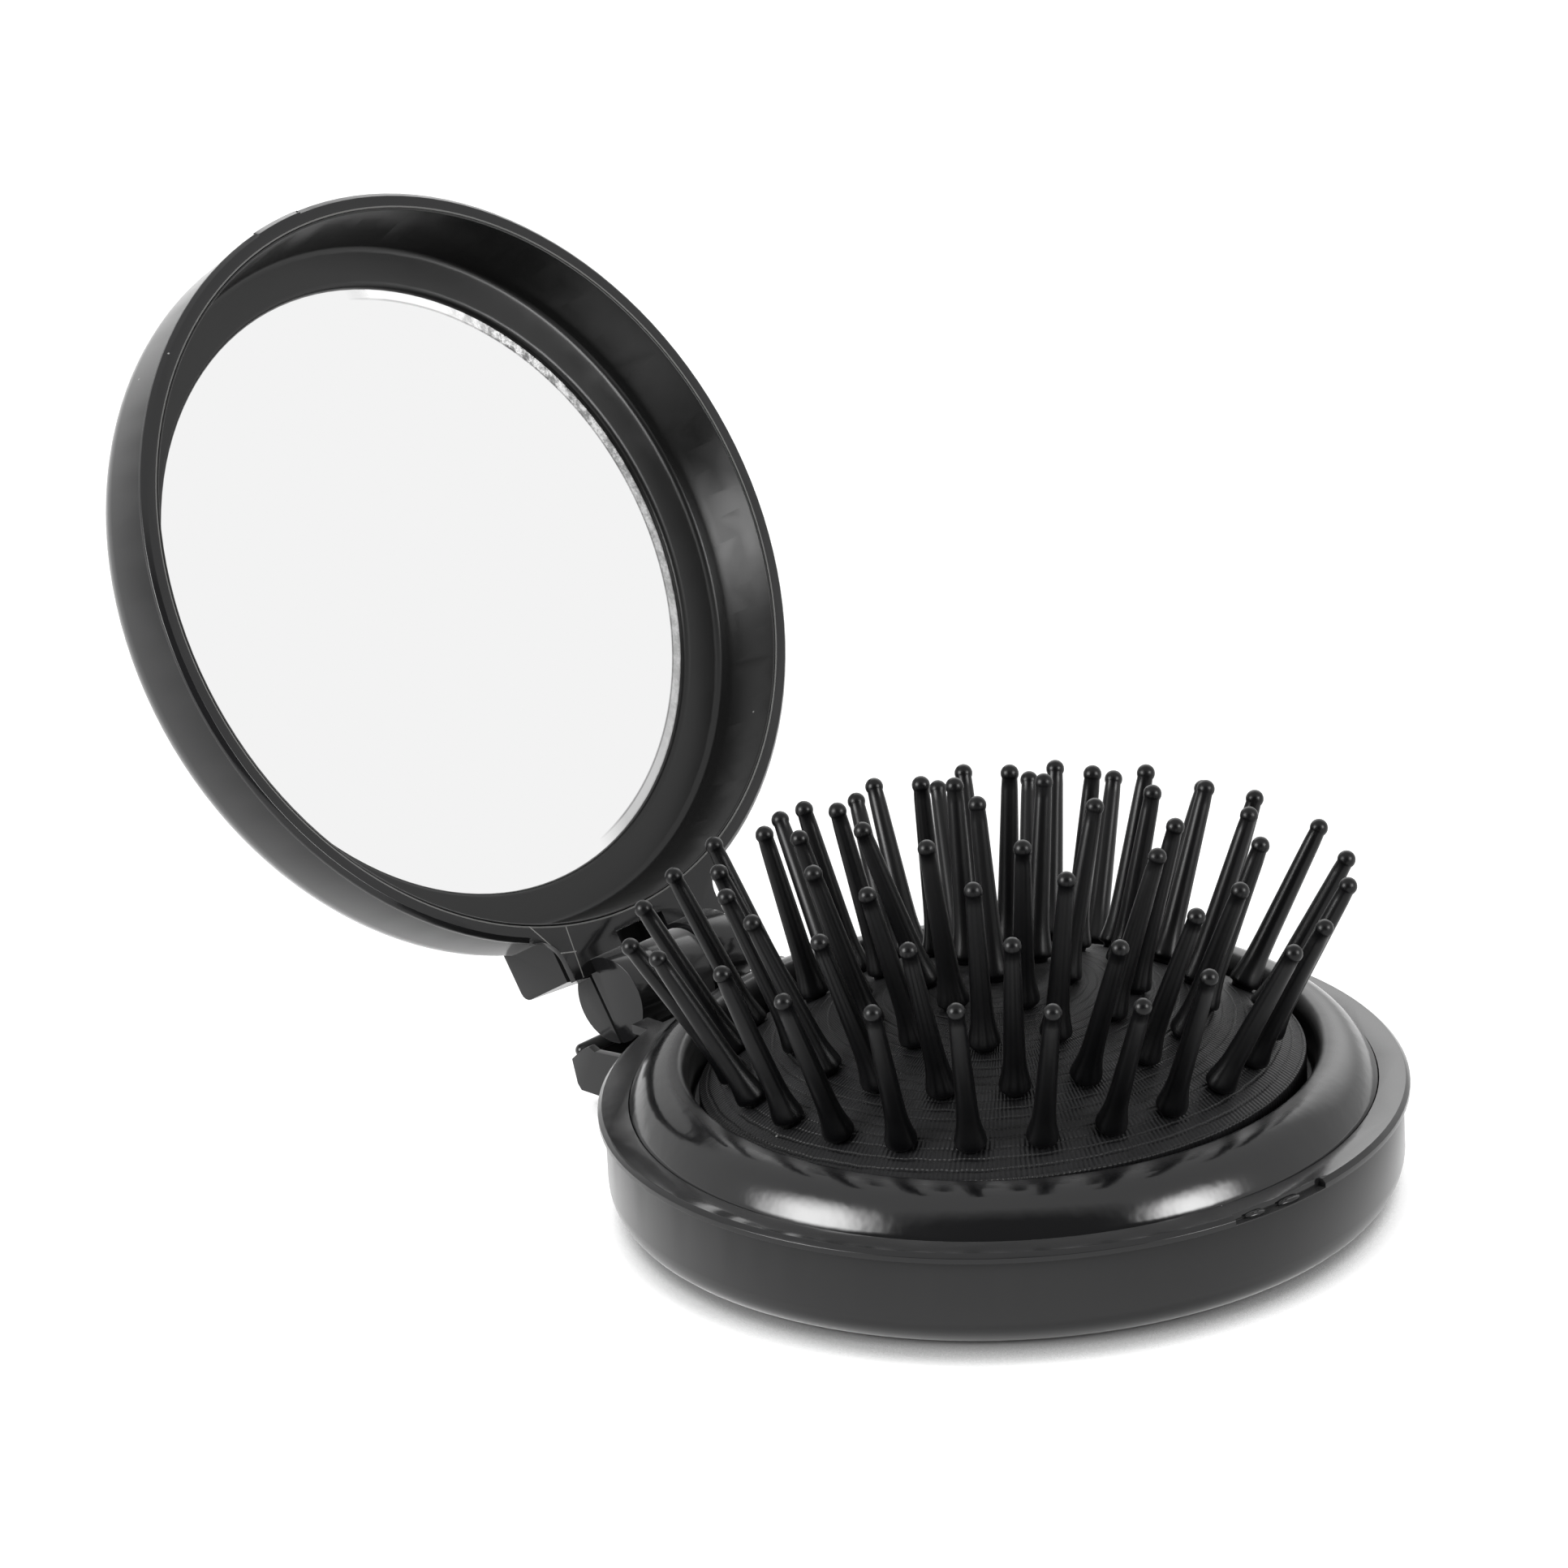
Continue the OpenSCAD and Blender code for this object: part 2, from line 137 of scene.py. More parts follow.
class HAIRBRUSH_PG_sizes(bpy.types.PropertyGroup):
    """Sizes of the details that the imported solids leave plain"""

    edge_round: length("Edge rounding", "Radius of the moulded edges of shells and rim plates", 0.12)
    bezel_crest_r: length("Bezel crest", "Radius of the bezel's highest line", 26)
    bezel_mouth_r: length("Bezel mouth", "Radius of the opening inside the bezel", 25.07)
    bezel_lip_h: length("Bezel lip", "Height of the bezel's inner edge above the rim plate", 2.12)
    dome_r: length("Cushion crown", "Radius of the cushion's domed face", 43.5)
    cushion_t: length("Cushion wall", "Thickness of the rubber sheet", 1.8)
    cushion_lean: angle("Cushion lean", "Lean of the cushion's face down toward the hinge", 2.8)
    ring_edge: length("Bristle edge", "From the outer ring's feet to the cushion's edge, from above", 3)
    bristle_l: length("Bristle length", "From a bristle's foot to the centre of its ball", 14.3)
    ball_r: length("Ball radius", "Radius of a bristle's ball tip", 0.74)
    shaft_top_r: length("Shaft top", "Radius of a bristle just under its ball", 0.66)
    shaft_foot_r: length("Shaft foot", "Radius of a bristle just above its collar", 0.86)
    collar_r: length("Collar radius", "Widest radius of a bristle's collar", 1.3)
    uneven: length("Bristle unevenness", "How far a moulded bristle strays from round", 0.012)
    dimple_depth: length("Dimple depth", "How far the rubber dips round each bristle", 0.14)
    rib_pitch: length("Rib pitch", "Spacing of the fine ribs across the cushion, at its edge", 0.42)
    rib_row: length("Rib row", "Length of the ribs outward, between two round grooves", 0.9)
    mirror_hollow: length("Mirror hollow", "Radius of the mirror's slight hollow", 135)
    bristle_sides: count("Bristle sides", "Faces round each bristle", 20, 8)
    lathe_sides: count("Lathe sides", "Faces round each turned piece", 288, 48)


class HAIRBRUSH_PG_finishes(bpy.types.PropertyGroup):
    """Colours of the finishes"""

    shell: colour("Shells", "Satin moulded plastic of the two shells and the button", "#0d0d0e")
    rim: colour("Rim plates", "Plastic of the two rim plates and the hinge", "#101011")
    trim: colour("Trim", "Polished plastic of the bezel", "#0c0c0d")
    cup: colour("Cup", "Plastic of the mirror cup", "#070707")
    rubber: colour("Cushion", "Rubber of the cushion", "#0f0f10")
    bristle: colour("Bristles", "Nylon of the bristles", "#040405")
    silver: colour("Mirror", "Silvering of the mirror", "#f3f3f3")
    strip: colour("Strip", "Worn silvering along the mirror's edge", "#c6c6c6")
    flake: colour("Flakes", "Backing that shows where the silvering has flaked", "#3a3a3a")
    steel: colour("Pin", "Drawn steel of the hinge pin", "#b9babc")
    tape: colour("Tape", "Adhesive sheet behind the mirror", "#d4d3cc")
    dust: colour("Dust", "Lint and dust caught on the plastic", "#8c8c8a")


class HAIRBRUSH_PG_studio(bpy.types.PropertyGroup):
    """The camera, the lamps and the floor"""

    distance: length("Camera distance", "From the centre of the base's rim plate", 815.8)
    azimuth: angle("Azimuth", "Camera's turn about the brush", 42.807)
    elevation: angle("Elevation", "Camera's height as an angle", 23.630)
    roll: angle("Roll", "Camera's turn about its own axis", -2.502)
    focal_px: number("Focal length in pixels", "Focal length as pixels of the square frame", 12565.8)
    world_fill: number("Fill", "Strength of the light from all round", 0.5)
    dim_side: number("Dim side", "Brightness that gloss shows where the camera stands", 0.15)
    box_power: number("Softboxes", "Power of each front softbox", 8.5, unit="POWER")
    back_power: number("Back softbox", "Power of the wide softbox behind", 2.6, unit="POWER")
    box_size: length("Softbox size", "Width of each round softbox", 440)
    box_away: length("Softbox distance", "From the brush to each softbox", 500)
    box_turn: angle("Softbox turn", "Each softbox's turn from the camera", 61)
    box_height: angle("Softbox height", "Each softbox's height as an angle", 24)
    floor: colour("Floor", "Paint of the floor", "#828282")
    floor_lift: number("Floor lift", "How much brighter the floor looks to the camera", 1.0)


def settings():
    """The sizes, finishes and studio settings of this scene."""
    scene = bpy.context.scene
    return scene.hairbrush_sizes, scene.hairbrush_finishes, scene.hairbrush_studio


# ---------- meshes ----------

SHARP_FROM = math.radians(28)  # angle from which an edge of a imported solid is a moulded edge
FLAT_UNDER = math.radians(0.6)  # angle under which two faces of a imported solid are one
WIDEST = 3  # widest rounding of an edge, as a share of the usual one


def link(name, data):
    """A new object with that data, in the scene."""
    made = bpy.data.objects.new(name, data)
    bpy.context.scene.collection.objects.link(made)
    return made


def arc(centre, r_x, r_z, start, end, steps):
    """Points of an elliptical arc, with angles in degrees."""
    angles = [math.radians(start + (end - start) * i / steps) for i in range(steps + 1)]
    return [(centre[0] + r_x * math.cos(a), centre[1] + r_z * math.sin(a)) for a in angles]


def slope(r, reach, top, fall, steps, power, even=0):
    """Points of a slope that steepens outward; a share of its fall is even."""
    shares = [i / steps for i in range(steps + 1)]
    return [(r + reach * t, top - fall * (even * t + (1 - even) * t**power)) for t in shares]


def lathe(name, outline, sides):
    """A closed outline of (radius, height) points turned about Z."""
    bm = bmesh.new()
    turns = [(math.cos(TURN * k / sides), math.sin(TURN * k / sides)) for k in range(sides)]
    rings = []
    for radius, height in outline:
        if radius < 1e-7:
            rings.append([bm.verts.new((0, 0, height))] * sides)
        else:
            rings.append([bm.verts.new((radius * x, radius * y, height)) for x, y in turns])
    for i, ring in enumerate(rings):
        other = rings[(i + 1) % len(rings)]
        for k in range(sides):
            nearest = (ring[k], ring[(k + 1) % sides], other[(k + 1) % sides], other[k])
            corners = list(dict.fromkeys(nearest))
            if len(corners) > 2:
                bm.faces.new(corners)
    bmesh.ops.remove_doubles(bm, verts=bm.verts, dist=1e-7)
    bmesh.ops.recalc_face_normals(bm, faces=bm.faces)
    mesh = bpy.data.meshes.new(name)
    bm.to_mesh(mesh)
    bm.free()
    mesh.shade_smooth()
    return mesh


def applied(made):
    """Turns an object's modifiers into its plain mesh."""
    evaluated = made.evaluated_get(bpy.context.evaluated_depsgraph_get())
    mesh = bpy.data.meshes.new_from_object(evaluated)
    made.modifiers.clear()
    made.data = mesh
    return made


def rounded_copy(node, name, place=None, shaped=None, softness=None):
    """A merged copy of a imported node, with its edges rounded as a mould leaves them.

    place is the frame in which shaped moves a point and softness tells how much wider it is rounded.
    """
    place = place or Matrix()
    bm = bmesh.new()
    bm.from_mesh(frame["nodes"][node].data)
    bmesh.ops.remove_doubles(bm, verts=bm.verts, dist=1e-6)
    bmesh.ops.dissolve_limit(bm, angle_limit=FLAT_UNDER, verts=bm.verts, edges=bm.edges)
    if shaped:
        for v in bm.verts:
            v.co = place @ shaped(place.inverted() @ v.co)
    weights = bm.edges.layers.float.new("bevel_weight_edge")
    for edge in bm.edges:
        if edge.calc_face_angle(0) > SHARP_FROM:
            middle = place.inverted() @ ((edge.verts[0].co + edge.verts[1].co) / 2)
            edge[weights] = (softness(middle) if softness else 1) / WIDEST
            edge.smooth = edge[weights] > 0
    mesh = bpy.data.meshes.new(name)
    bm.to_mesh(mesh)
    bm.free()
    mesh.shade_smooth()
    made = link(name, mesh)
    bevel = made.modifiers.new("edges", "BEVEL")
    bevel.width = settings()[0].edge_round * WIDEST
    bevel.segments = 4
    bevel.limit_method = "WEIGHT"
    bevel.harden_normals = True
    return applied(made)


def add_solid(mesh, make, moved, smooth=True, **sizes):
    """Adds the solid that make puts into a bmesh, each of its points moved, to a mesh."""
    bm = bmesh.new()
    bm.from_mesh(mesh)
    points = make(bm, **sizes)["verts"]
    for v in points:
        v.co = moved(v.co)
    for face in {f for v in points for f in v.link_faces}:
        face.smooth = smooth
    bm.to_mesh(mesh)
    bm.free()


def finished(made, body, material, slot, *nodes):
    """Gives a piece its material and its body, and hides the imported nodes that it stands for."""
    made.data.materials.clear()
    made.data.materials.append(material)
    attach(made, body)
    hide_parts(*nodes)
    return made


# ---------- materials ----------


def add_node(tree, kind, inputs=None, **attributes):
    """Adds a node with its attributes, and sets or links each input; a node gives its first output."""
    node = tree.nodes.new(kind)
    for name, value in attributes.items():
        setattr(node, name, value)
    for key, value in (inputs or {}).items():
        if isinstance(value, bpy.types.Node):
            value = value.outputs[0]
        if isinstance(value, bpy.types.NodeSocket):
            tree.links.new(value, node.inputs[key])
        else:
            node.inputs[key].default_value = value
    return node


def new_material(name):
    """An empty node material, and add_node held to its tree."""
    material = bpy.data.materials.new(name)
    material.use_nodes = True
    material.node_tree.nodes.clear()
    return material, partial(add_node, material.node_tree)


def rgba(values):
    """A colour with its alpha."""
    return (*values, 1)


def per_mm(millimetres):
    """The scale of a pattern whose cells are that wide."""
    return 1 / (millimetres * MM)


def object_place(add, lid=False):
    """Object coordinates, turned back to the closed lid's frame where asked."""
    place = add("ShaderNodeTexCoord").outputs["Object"]
    if not lid:
        return place
    back = LID_OPEN.inverted()
    turned = {"Vector": place, "Location": back.to_translation(), "Rotation": back.to_euler()}
    return add("ShaderNodeMapping", turned).outputs[0]


def axis_distance(add, place):
    """How far a place is from the Z axis."""
    flat = add("ShaderNodeVectorMath", {0: place, 1: (1, 1, 0)}, operation="MULTIPLY")
    return add("ShaderNodeVectorMath", {0: flat}, operation="LENGTH").outputs["Value"]


def specks(add, place, spacing, size, share):
    """A mask of sparse specks: one speck in that share of the cells of that spacing."""
    cells = add("ShaderNodeTexVoronoi", {"Vector": place, "Scale": per_mm(spacing), "Randomness": 1.0})
    edge = size / spacing
    near = add(
        "ShaderNodeMapRange", {"Value": cells.outputs["Distance"], "From Min": edge, "From Max": 0.5 * edge}
    )
    pick = add("ShaderNodeSeparateColor", {"Color": cells.outputs["Color"]})
    chosen = add("ShaderNodeMath", {0: pick, 1: share}, operation="LESS_THAN")
    return add("ShaderNodeMath", {0: near, 1: chosen}, operation="MULTIPLY")


def scratch(add, place, start, end):
    """A mask of one fine scratch between two points."""
    half = (end - start).length / 2
    way = (end - start).normalized()
    off = add("ShaderNodeVectorMath", {0: place, 1: start}, operation="SUBTRACT")
    along = add("ShaderNodeVectorMath", {0: off, 1: way}, operation="DOT_PRODUCT")
    side = add("ShaderNodeVectorMath", {0: off, 1: way}, operation="CROSS_PRODUCT")
    far = add("ShaderNodeVectorMath", {0: side}, operation="LENGTH")
    thin = add(
        "ShaderNodeMapRange", {"Value": far.outputs["Value"], "From Min": 0.07 * MM, "From Max": 0.03 * MM}
    )
    on_way = add("ShaderNodeMath", {0: along.outputs["Value"], 1: half, 2: half}, operation="COMPARE")
    return add("ShaderNodeMath", {0: thin, 1: on_way}, operation="MULTIPLY")


# details that all the plastics share, in millimetres
HAZE_PATCH = 6
RUBBED_FADE = 1.1  # over which rubbed gloss turns dull
PAINTED_HIGHLIGHT_HALF = 0.13  # half of the painted highlight line's width
PAINTED_HIGHLIGHT_SHARE = 0.45  # of the dust's colour that the painted highlight line shows


def plastic(
    name,
    tone,
    roughness,
    haze,
    ior,
    grain,
    wave,
    dusty,
    jagged=1.0,
    sheen=0.0,
    scratches=(),
    rubbed=None,
    burr=0,
):
    """Black moulded plastic: a dark body colour, hazy patches in its gloss, grain, slow waves and dust, and
    where asked a painted highlight line.

    grain and wave are (spacing, depth) in millimetres; jagged is the wave's detail; dusty is the share
    of cells with a speck. rubbed is the radius inside which the gloss is dull, and how much rougher it
    is there. The last argument is the radius on the closed lid of a painted highlight, a fine pale line along
    an edge.
    """
    material, add = new_material(name)
    place = object_place(add)
    patches = add(
        "ShaderNodeTexNoise",
        {"Vector": place, "Scale": per_mm(HAZE_PATCH), "Detail": 4.0, "Roughness": 0.6},
    )
    span = {"From Min": 0.3, "From Max": 0.7, "To Min": roughness - haze, "To Max": roughness + haze}
    gloss = add("ShaderNodeMapRange", {"Value": patches, **span})
    if rubbed:
        edge, rougher = rubbed
        dull = add(
            "ShaderNodeMapRange",
            {
                "Value": axis_distance(add, place),
                "From Min": edge,
                "From Max": edge - RUBBED_FADE * MM,
                "To Max": rougher,
            },
        )
        gloss = add("ShaderNodeMath", {0: gloss, 1: dull})
    pale = specks(add, place, spacing=3.2, size=0.11, share=dusty)
    # painted highlight: a fine pale line at that radius on the closed lid, standing in for light caught by
    # the edge
    if burr:
        radius = axis_distance(add, object_place(add, lid=True))
        line = add("ShaderNodeMath", {0: radius, 1: burr, 2: PAINTED_HIGHLIGHT_HALF * MM}, operation="COMPARE")
        pale = add("ShaderNodeMath", {0: line, 1: PAINTED_HIGHLIGHT_SHARE, 2: pale}, operation="MULTIPLY_ADD")
    for start, end in scratches:
        mark = scratch(add, place, start, end)
        pale = add("ShaderNodeMath", {0: pale, 1: mark}, operation="MAXIMUM")
    # the dust's colour tints the specks, the scratches and the painted highlight line
    dust = rgba(settings()[1].dust)
    tint = add("ShaderNodeMix", {"Factor": pale, 6: rgba(tone), 7: dust}, data_type="RGBA")
    normal = {}
    for (spacing, depth), detail in ((wave, jagged), (grain, 2.0)):
        relief = add("ShaderNodeTexNoise", {"Vector": place, "Scale": per_mm(spacing), "Detail": detail})
        bump = add("ShaderNodeBump", {"Height": relief, "Distance": depth * MM, "Strength": 1.0, **normal})
        normal = {"Normal": bump}
    shader = add(
        "ShaderNodeBsdfPrincipled",
        {
            "Base Color": tint.outputs[2],
            "Roughness": gloss,
            "IOR": ior,
            "Sheen Weight": sheen,
            "Sheen Roughness": 0.45,
            **normal,
        },
    )
    add("ShaderNodeOutputMaterial", {"Surface": shader})
    return material


def satin_abs():
    """Injection-moulded ABS from a spark-eroded mould: a soft grey sheen over a dark body."""
    finish = dict(roughness=0.15, haze=0.02, ior=1.37, sheen=0.55, dusty=0.05)
    return plastic("satin moulded ABS", settings()[1].shell, grain=(0.16, 0.002), wave=(6, 0.01), **finish)


def plate_abs(scratches=(), burr=0):
    """Injection-moulded ABS from a ground mould: smoother than the shells, so its edges catch light; where
    asked, a pale line along an edge is a painted highlight.
    """
    finish = dict(roughness=0.13, haze=0.04, ior=1.43, sheen=0.1, dusty=0.16, jagged=3.0)
    finish.update(grain=(0.12, 0.0015), wave=(3.5, 0.014), scratches=scratches, burr=burr)
    return plastic("ground moulded ABS", settings()[1].rim, **finish)


def polished_abs():
    """Injection-moulded ABS from a polished mould: clear reflections, bent by sink marks, rubbed inside."""
    rubbed = (settings()[0].bezel_crest_r + 1.2 * MM, 0.24)
    finish = dict(roughness=0.14, haze=0.03, ior=1.52, dusty=0.1, jagged=3.0, rubbed=rubbed)
    return plastic("polished ABS", settings()[1].trim, grain=(0.5, 0.0004), wave=(4, 0.06), **finish)


def cup_abs():
    """Injection-moulded ABS, drawn off a deep core: dark, with only a soft shine."""
    finish = dict(roughness=0.32, haze=0.02, ior=1.44, dusty=0.16)
    return plastic("deep moulded ABS", settings()[1].cup, grain=(0.3, 0.001), wave=(9, 0.003), **finish)


def bristle_nylon():
    """Moulded nylon: a soft shine, with a faint uneven skin."""
    finish = dict(roughness=0.33, haze=0.04, ior=1.34, dusty=0.02)
    return plastic("moulded nylon", settings()[1].bristle, grain=(0.3, 0.0006), wave=(1.5, 0.006), **finish)


RIB_DEPTH = 0.024 * MM  # of the moulded ribs
RIB_STRAY = 0.25 * MM  # how far the ribs stray from their pattern


def cushion_rubber():
    """Moulded natural rubber: matte, with a linen of fine ribs round it from its engraved mould; its colour
    is painted lighter on the ribs' crests and darker in their grooves, a painted shade and highlight.
    """
    sizes, tones, _ = settings()
    material, add = new_material("engraved rubber")
    place = object_place(add)
    shaken = add("ShaderNodeTexNoise", {"Vector": place, "Scale": per_mm(1.6), "Detail": 2.0})
    stray = add(
        "ShaderNodeVectorMath",
        {0: shaken.outputs["Color"], 1: (RIB_STRAY,) * 3, 2: place},
        operation="MULTIPLY_ADD",
    )
    axes = add("ShaderNodeSeparateXYZ", {"Vector": stray}).outputs
    turn = add("ShaderNodeMath", {0: axes[1], 1: axes[0]}, operation="ARCTAN2")
    radius = axis_distance(add, stray)
    row = add("ShaderNodeMath", {0: radius, 1: 1 / sizes.rib_row}, operation="MULTIPLY")
    shift = add("ShaderNodeMath", {0: row}, operation="FLOOR")
    spokes = float(round(TURN * CUSHION_R / sizes.rib_pitch))
    turned = add("ShaderNodeMath", {0: turn, 1: spokes, 2: shift}, operation="MULTIPLY_ADD")
    spoke = add("ShaderNodeMath", {0: turned}, operation="SINE")
    row_turn = add("ShaderNodeMath", {0: row, 1: TURN}, operation="MULTIPLY")
    row_wave = add("ShaderNodeMath", {0: row_turn}, operation="COSINE")
    groove = add(
        "ShaderNodeMapRange",
        {"Value": row_wave, "From Min": 0.5, "From Max": 1.0, "To Min": 1.0, "To Max": -1.0},
    )
    ribs = add("ShaderNodeMath", {0: spoke, 1: groove}, operation="ADD")
    bump = add("ShaderNodeBump", {"Height": ribs, "Distance": RIB_DEPTH, "Strength": 1.0})
    worn = add(
        "ShaderNodeTexNoise", {"Vector": place, "Scale": per_mm(3), "Detail": 5.0, "Roughness": 0.65}
    )
    shade = add(
        "ShaderNodeMapRange",
        {"Value": worn, "From Min": 0.3, "From Max": 0.7, "To Min": 0.7, "To Max": 1.3},
    )
    # painted shade and highlight: the rubber's colour follows the ribs' relief, darker in the grooves and
    # lighter on the crests
    painted_rib_shade = add(
        "ShaderNodeMapRange",
        {"Value": ribs, "From Min": -2.0, "From Max": 2.0, "To Min": 0.5, "To Max": 1.5},
    )
    # random tone of the rubber times the painted rib shade
    depth = add("ShaderNodeMath", {0: shade, 1: painted_rib_shade}, operation="MULTIPLY")
    toned = add("ShaderNodeVectorMath", {0: tuple(tones.rubber), "Scale": depth}, operation="SCALE")
    lint = specks(add, place, spacing=4.0, size=0.12, share=0.08)
    tint = add("ShaderNodeMix", {"Factor": lint, 6: toned, 7: rgba(tones.dust)}, data_type="RGBA")
    shader = add(
        "ShaderNodeBsdfPrincipled",
        {"Base Color": tint.outputs[2], "Roughness": 0.45, "IOR": 1.34, "Normal": bump},
    )
    add("ShaderNodeOutputMaterial", {"Surface": shader})
    return material


GLASS_R = 26.34 * MM  # radius of the mirror inside its ring
STRIP_W = 0.9 * MM  # width of the worn strip along the mirror's right edge
LINE_AT = 0.75 * MM  # from the mirror's edge to the grey line inside the strip


def silvered_glass():
    """Silvered float glass, hollowed a little to enlarge: clear, its silver flaked at the rim."""
    tones = settings()[1]
    material, add = new_material("silvered glass")
    place = object_place(add, lid=True)
    axes = add("ShaderNodeSeparateXYZ", {"Vector": place}).outputs
    radius = axis_distance(add, place)
    turn = add("ShaderNodeMath", {0: axes[1], 1: GLASS_R}, operation="DIVIDE")
    side = add("ShaderNodeMapRange", {"Value": turn, "From Min": 0.22, "From Max": 0.36})
    inside = GLASS_R - STRIP_W
    edge = {"From Min": inside - 0.05 * MM, "From Max": inside + 0.05 * MM}
    band = add("ShaderNodeMapRange", {"Value": radius, **edge})
    strip = add("ShaderNodeMath", {0: band, 1: side}, operation="MULTIPLY")
    chips = add(
        "ShaderNodeTexNoise", {"Vector": place, "Scale": per_mm(1.1), "Detail": 6.0, "Roughness": 0.8}
    )
    height = {"From Min": -20 * MM, "From Max": 20 * MM, "To Min": 0.2}
    upper = add("ShaderNodeMapRange", {"Value": axes[0], **height})
    right = add("ShaderNodeMapRange", {"Value": turn, "From Min": 0.55, "From Max": 0.75})
    corner = add("ShaderNodeMath", {0: right, 1: upper}, operation="MULTIPLY")
    coarse = {"From Min": 0.42, "From Max": 0.56, "To Max": 0.92}
    flecks = add("ShaderNodeMapRange", {"Value": chips, **coarse})
    flaked = add("ShaderNodeMath", {0: flecks, 1: corner}, operation="MULTIPLY")
    flaky = {"Factor": flaked, 6: rgba(tones.strip), 7: rgba(tones.flake)}
    strip_tint = add("ShaderNodeMix", flaky, data_type="RGBA")
    line_r = GLASS_R - LINE_AT
    fine = {"From Min": line_r - 0.03 * MM, "From Max": line_r + 0.03 * MM, "To Min": 0.55}
    line = add("ShaderNodeMapRange", {"Value": radius, **fine})
    lined = add("ShaderNodeVectorMath", {0: strip_tint.outputs[2], "Scale": line}, operation="SCALE")
    tint = add("ShaderNodeMix", {"Factor": strip, 6: rgba(tones.silver), 7: lined}, data_type="RGBA")
    rough = add("ShaderNodeMapRange", {"Value": strip, "To Min": 0.015, "To Max": 0.45})
    middle = LID_OPEN @ Vector((0, 0, MIRROR_DEPTH))
    outward = add("ShaderNodeVectorMath", {0: object_place(add), 1: middle}, operation="SUBTRACT")
    bend = -1 / settings()[0].mirror_hollow
    tilt = add("ShaderNodeVectorMath", {0: outward, "Scale": bend}, operation="SCALE")
    turned = add(
        "ShaderNodeVectorTransform",
        {"Vector": tilt},
        vector_type="VECTOR",
        convert_from="OBJECT",
        convert_to="WORLD",
    )
    flat = add("ShaderNodeNewGeometry").outputs["Normal"]
    hollow = add("ShaderNodeVectorMath", {0: flat, 1: turned}, operation="ADD")
    normal = add("ShaderNodeVectorMath", {0: hollow}, operation="NORMALIZE")
    shader = add(
        "ShaderNodeBsdfPrincipled",
        {"Base Color": tint.outputs[2], "Roughness": rough, "Metallic": 1.0, "Normal": normal},
    )
    add("ShaderNodeOutputMaterial", {"Surface": shader})
    return material


def drawn_steel():
    """Drawn steel wire: bright, with fine lines along it."""
    material, add = new_material("drawn steel")
    along = (per_mm(0.1), per_mm(4), per_mm(0.1))
    lines = add("ShaderNodeMapping", {"Vector": object_place(add), "Scale": along})
    drawn = add("ShaderNodeTexNoise", {"Vector": lines, "Scale": 1.0})
    rough = add("ShaderNodeMapRange", {"Value": drawn, "To Min": 0.2, "To Max": 0.4})
    shader = add(
        "ShaderNodeBsdfPrincipled",
        {"Base Color": rgba(settings()[1].steel), "Metallic": 1.0, "Roughness": rough},
    )
    add("ShaderNodeOutputMaterial", {"Surface": shader})
    return material


def adhesive_tape():
    """Double-sided adhesive sheet: pale paper fibres under a dull gum."""
    material, add = new_material("adhesive sheet")
    grain = {"Vector": object_place(add), "Scale": per_mm(0.5), "Detail": 6.0}
    fibres = add("ShaderNodeTexNoise", grain)
    shade = add("ShaderNodeMapRange", {"Value": fibres, "To Min": 0.8, "To Max": 1.1})
    paper = {0: tuple(settings()[1].tape), "Scale": shade}
    toned = add("ShaderNodeVectorMath", paper, operation="SCALE")
    shader = add("ShaderNodeBsdfPrincipled", {"Base Color": toned, "Roughness": 0.7})
    add("ShaderNodeOutputMaterial", {"Surface": shader})
    return material


# ---------- the camera ----------

FRAME_PX = 1932  # side of the square frame
AIM_PX = (1236.06, 1337.13)  # where the centre of the base's rim plate falls in that frame
SENSOR = 36.0  # width of the camera's sensor, in millimetres


def pixel_ray(studio, pixel):
    """Direction through a pixel of the frame, in the camera's own axes."""
    half = FRAME_PX / 2
    return Vector(((pixel[0] - half) / studio.focal_px, (half - pixel[1]) / studio.focal_px, -1))


def camera_axes(studio):
    """The camera's direction from the brush, and its turn as a matrix."""
    a, e = studio.azimuth, studio.elevation
    back = Vector((math.sin(a) * math.cos(e), -math.cos(a) * math.cos(e), math.sin(e)))
    right = Vector((math.cos(a), math.sin(a), 0))
    up = back.cross(right)
    rolled_right = right * math.cos(studio.roll) + up * math.sin(studio.roll)
    rolled_up = up * math.cos(studio.roll) - right * math.sin(studio.roll)
    level = Matrix((rolled_right, rolled_up, back)).transposed()
    aim = pixel_ray(studio, AIM_PX).rotation_difference(-UP)
    return back, level @ aim.to_matrix()


def camera_place(studio):
    """Where the camera stands."""
    return BASE_TOP * UP + camera_axes(studio)[0] * studio.distance


def sight_line(pixel):
    """Where the camera stands, and its direction through that pixel of the frame."""
    studio = settings()[2]
    return camera_place(studio), (camera_axes(studio)[1] @ pixel_ray(studio, pixel)).normalized()


# ---------- the head ----------

RING_NODES = ("bristle_centre", "bristle_ring_1", "bristle_ring_2", "bristle_ring_3", "bristle_ring_4")
RING_TURN = (0, -24.4, -23, -3.4, -9.3)  # each ring's turn about the centre, in degrees
SWING_LIMIT = math.radians(11)  # how far a bristle may bend away from its regular direction
BALL_GAP = 0.3 * MM  # between a pressed ball and the closed mirror
MOST_KEPT = 0.4  # of a bristle along the direction in which it is pressed

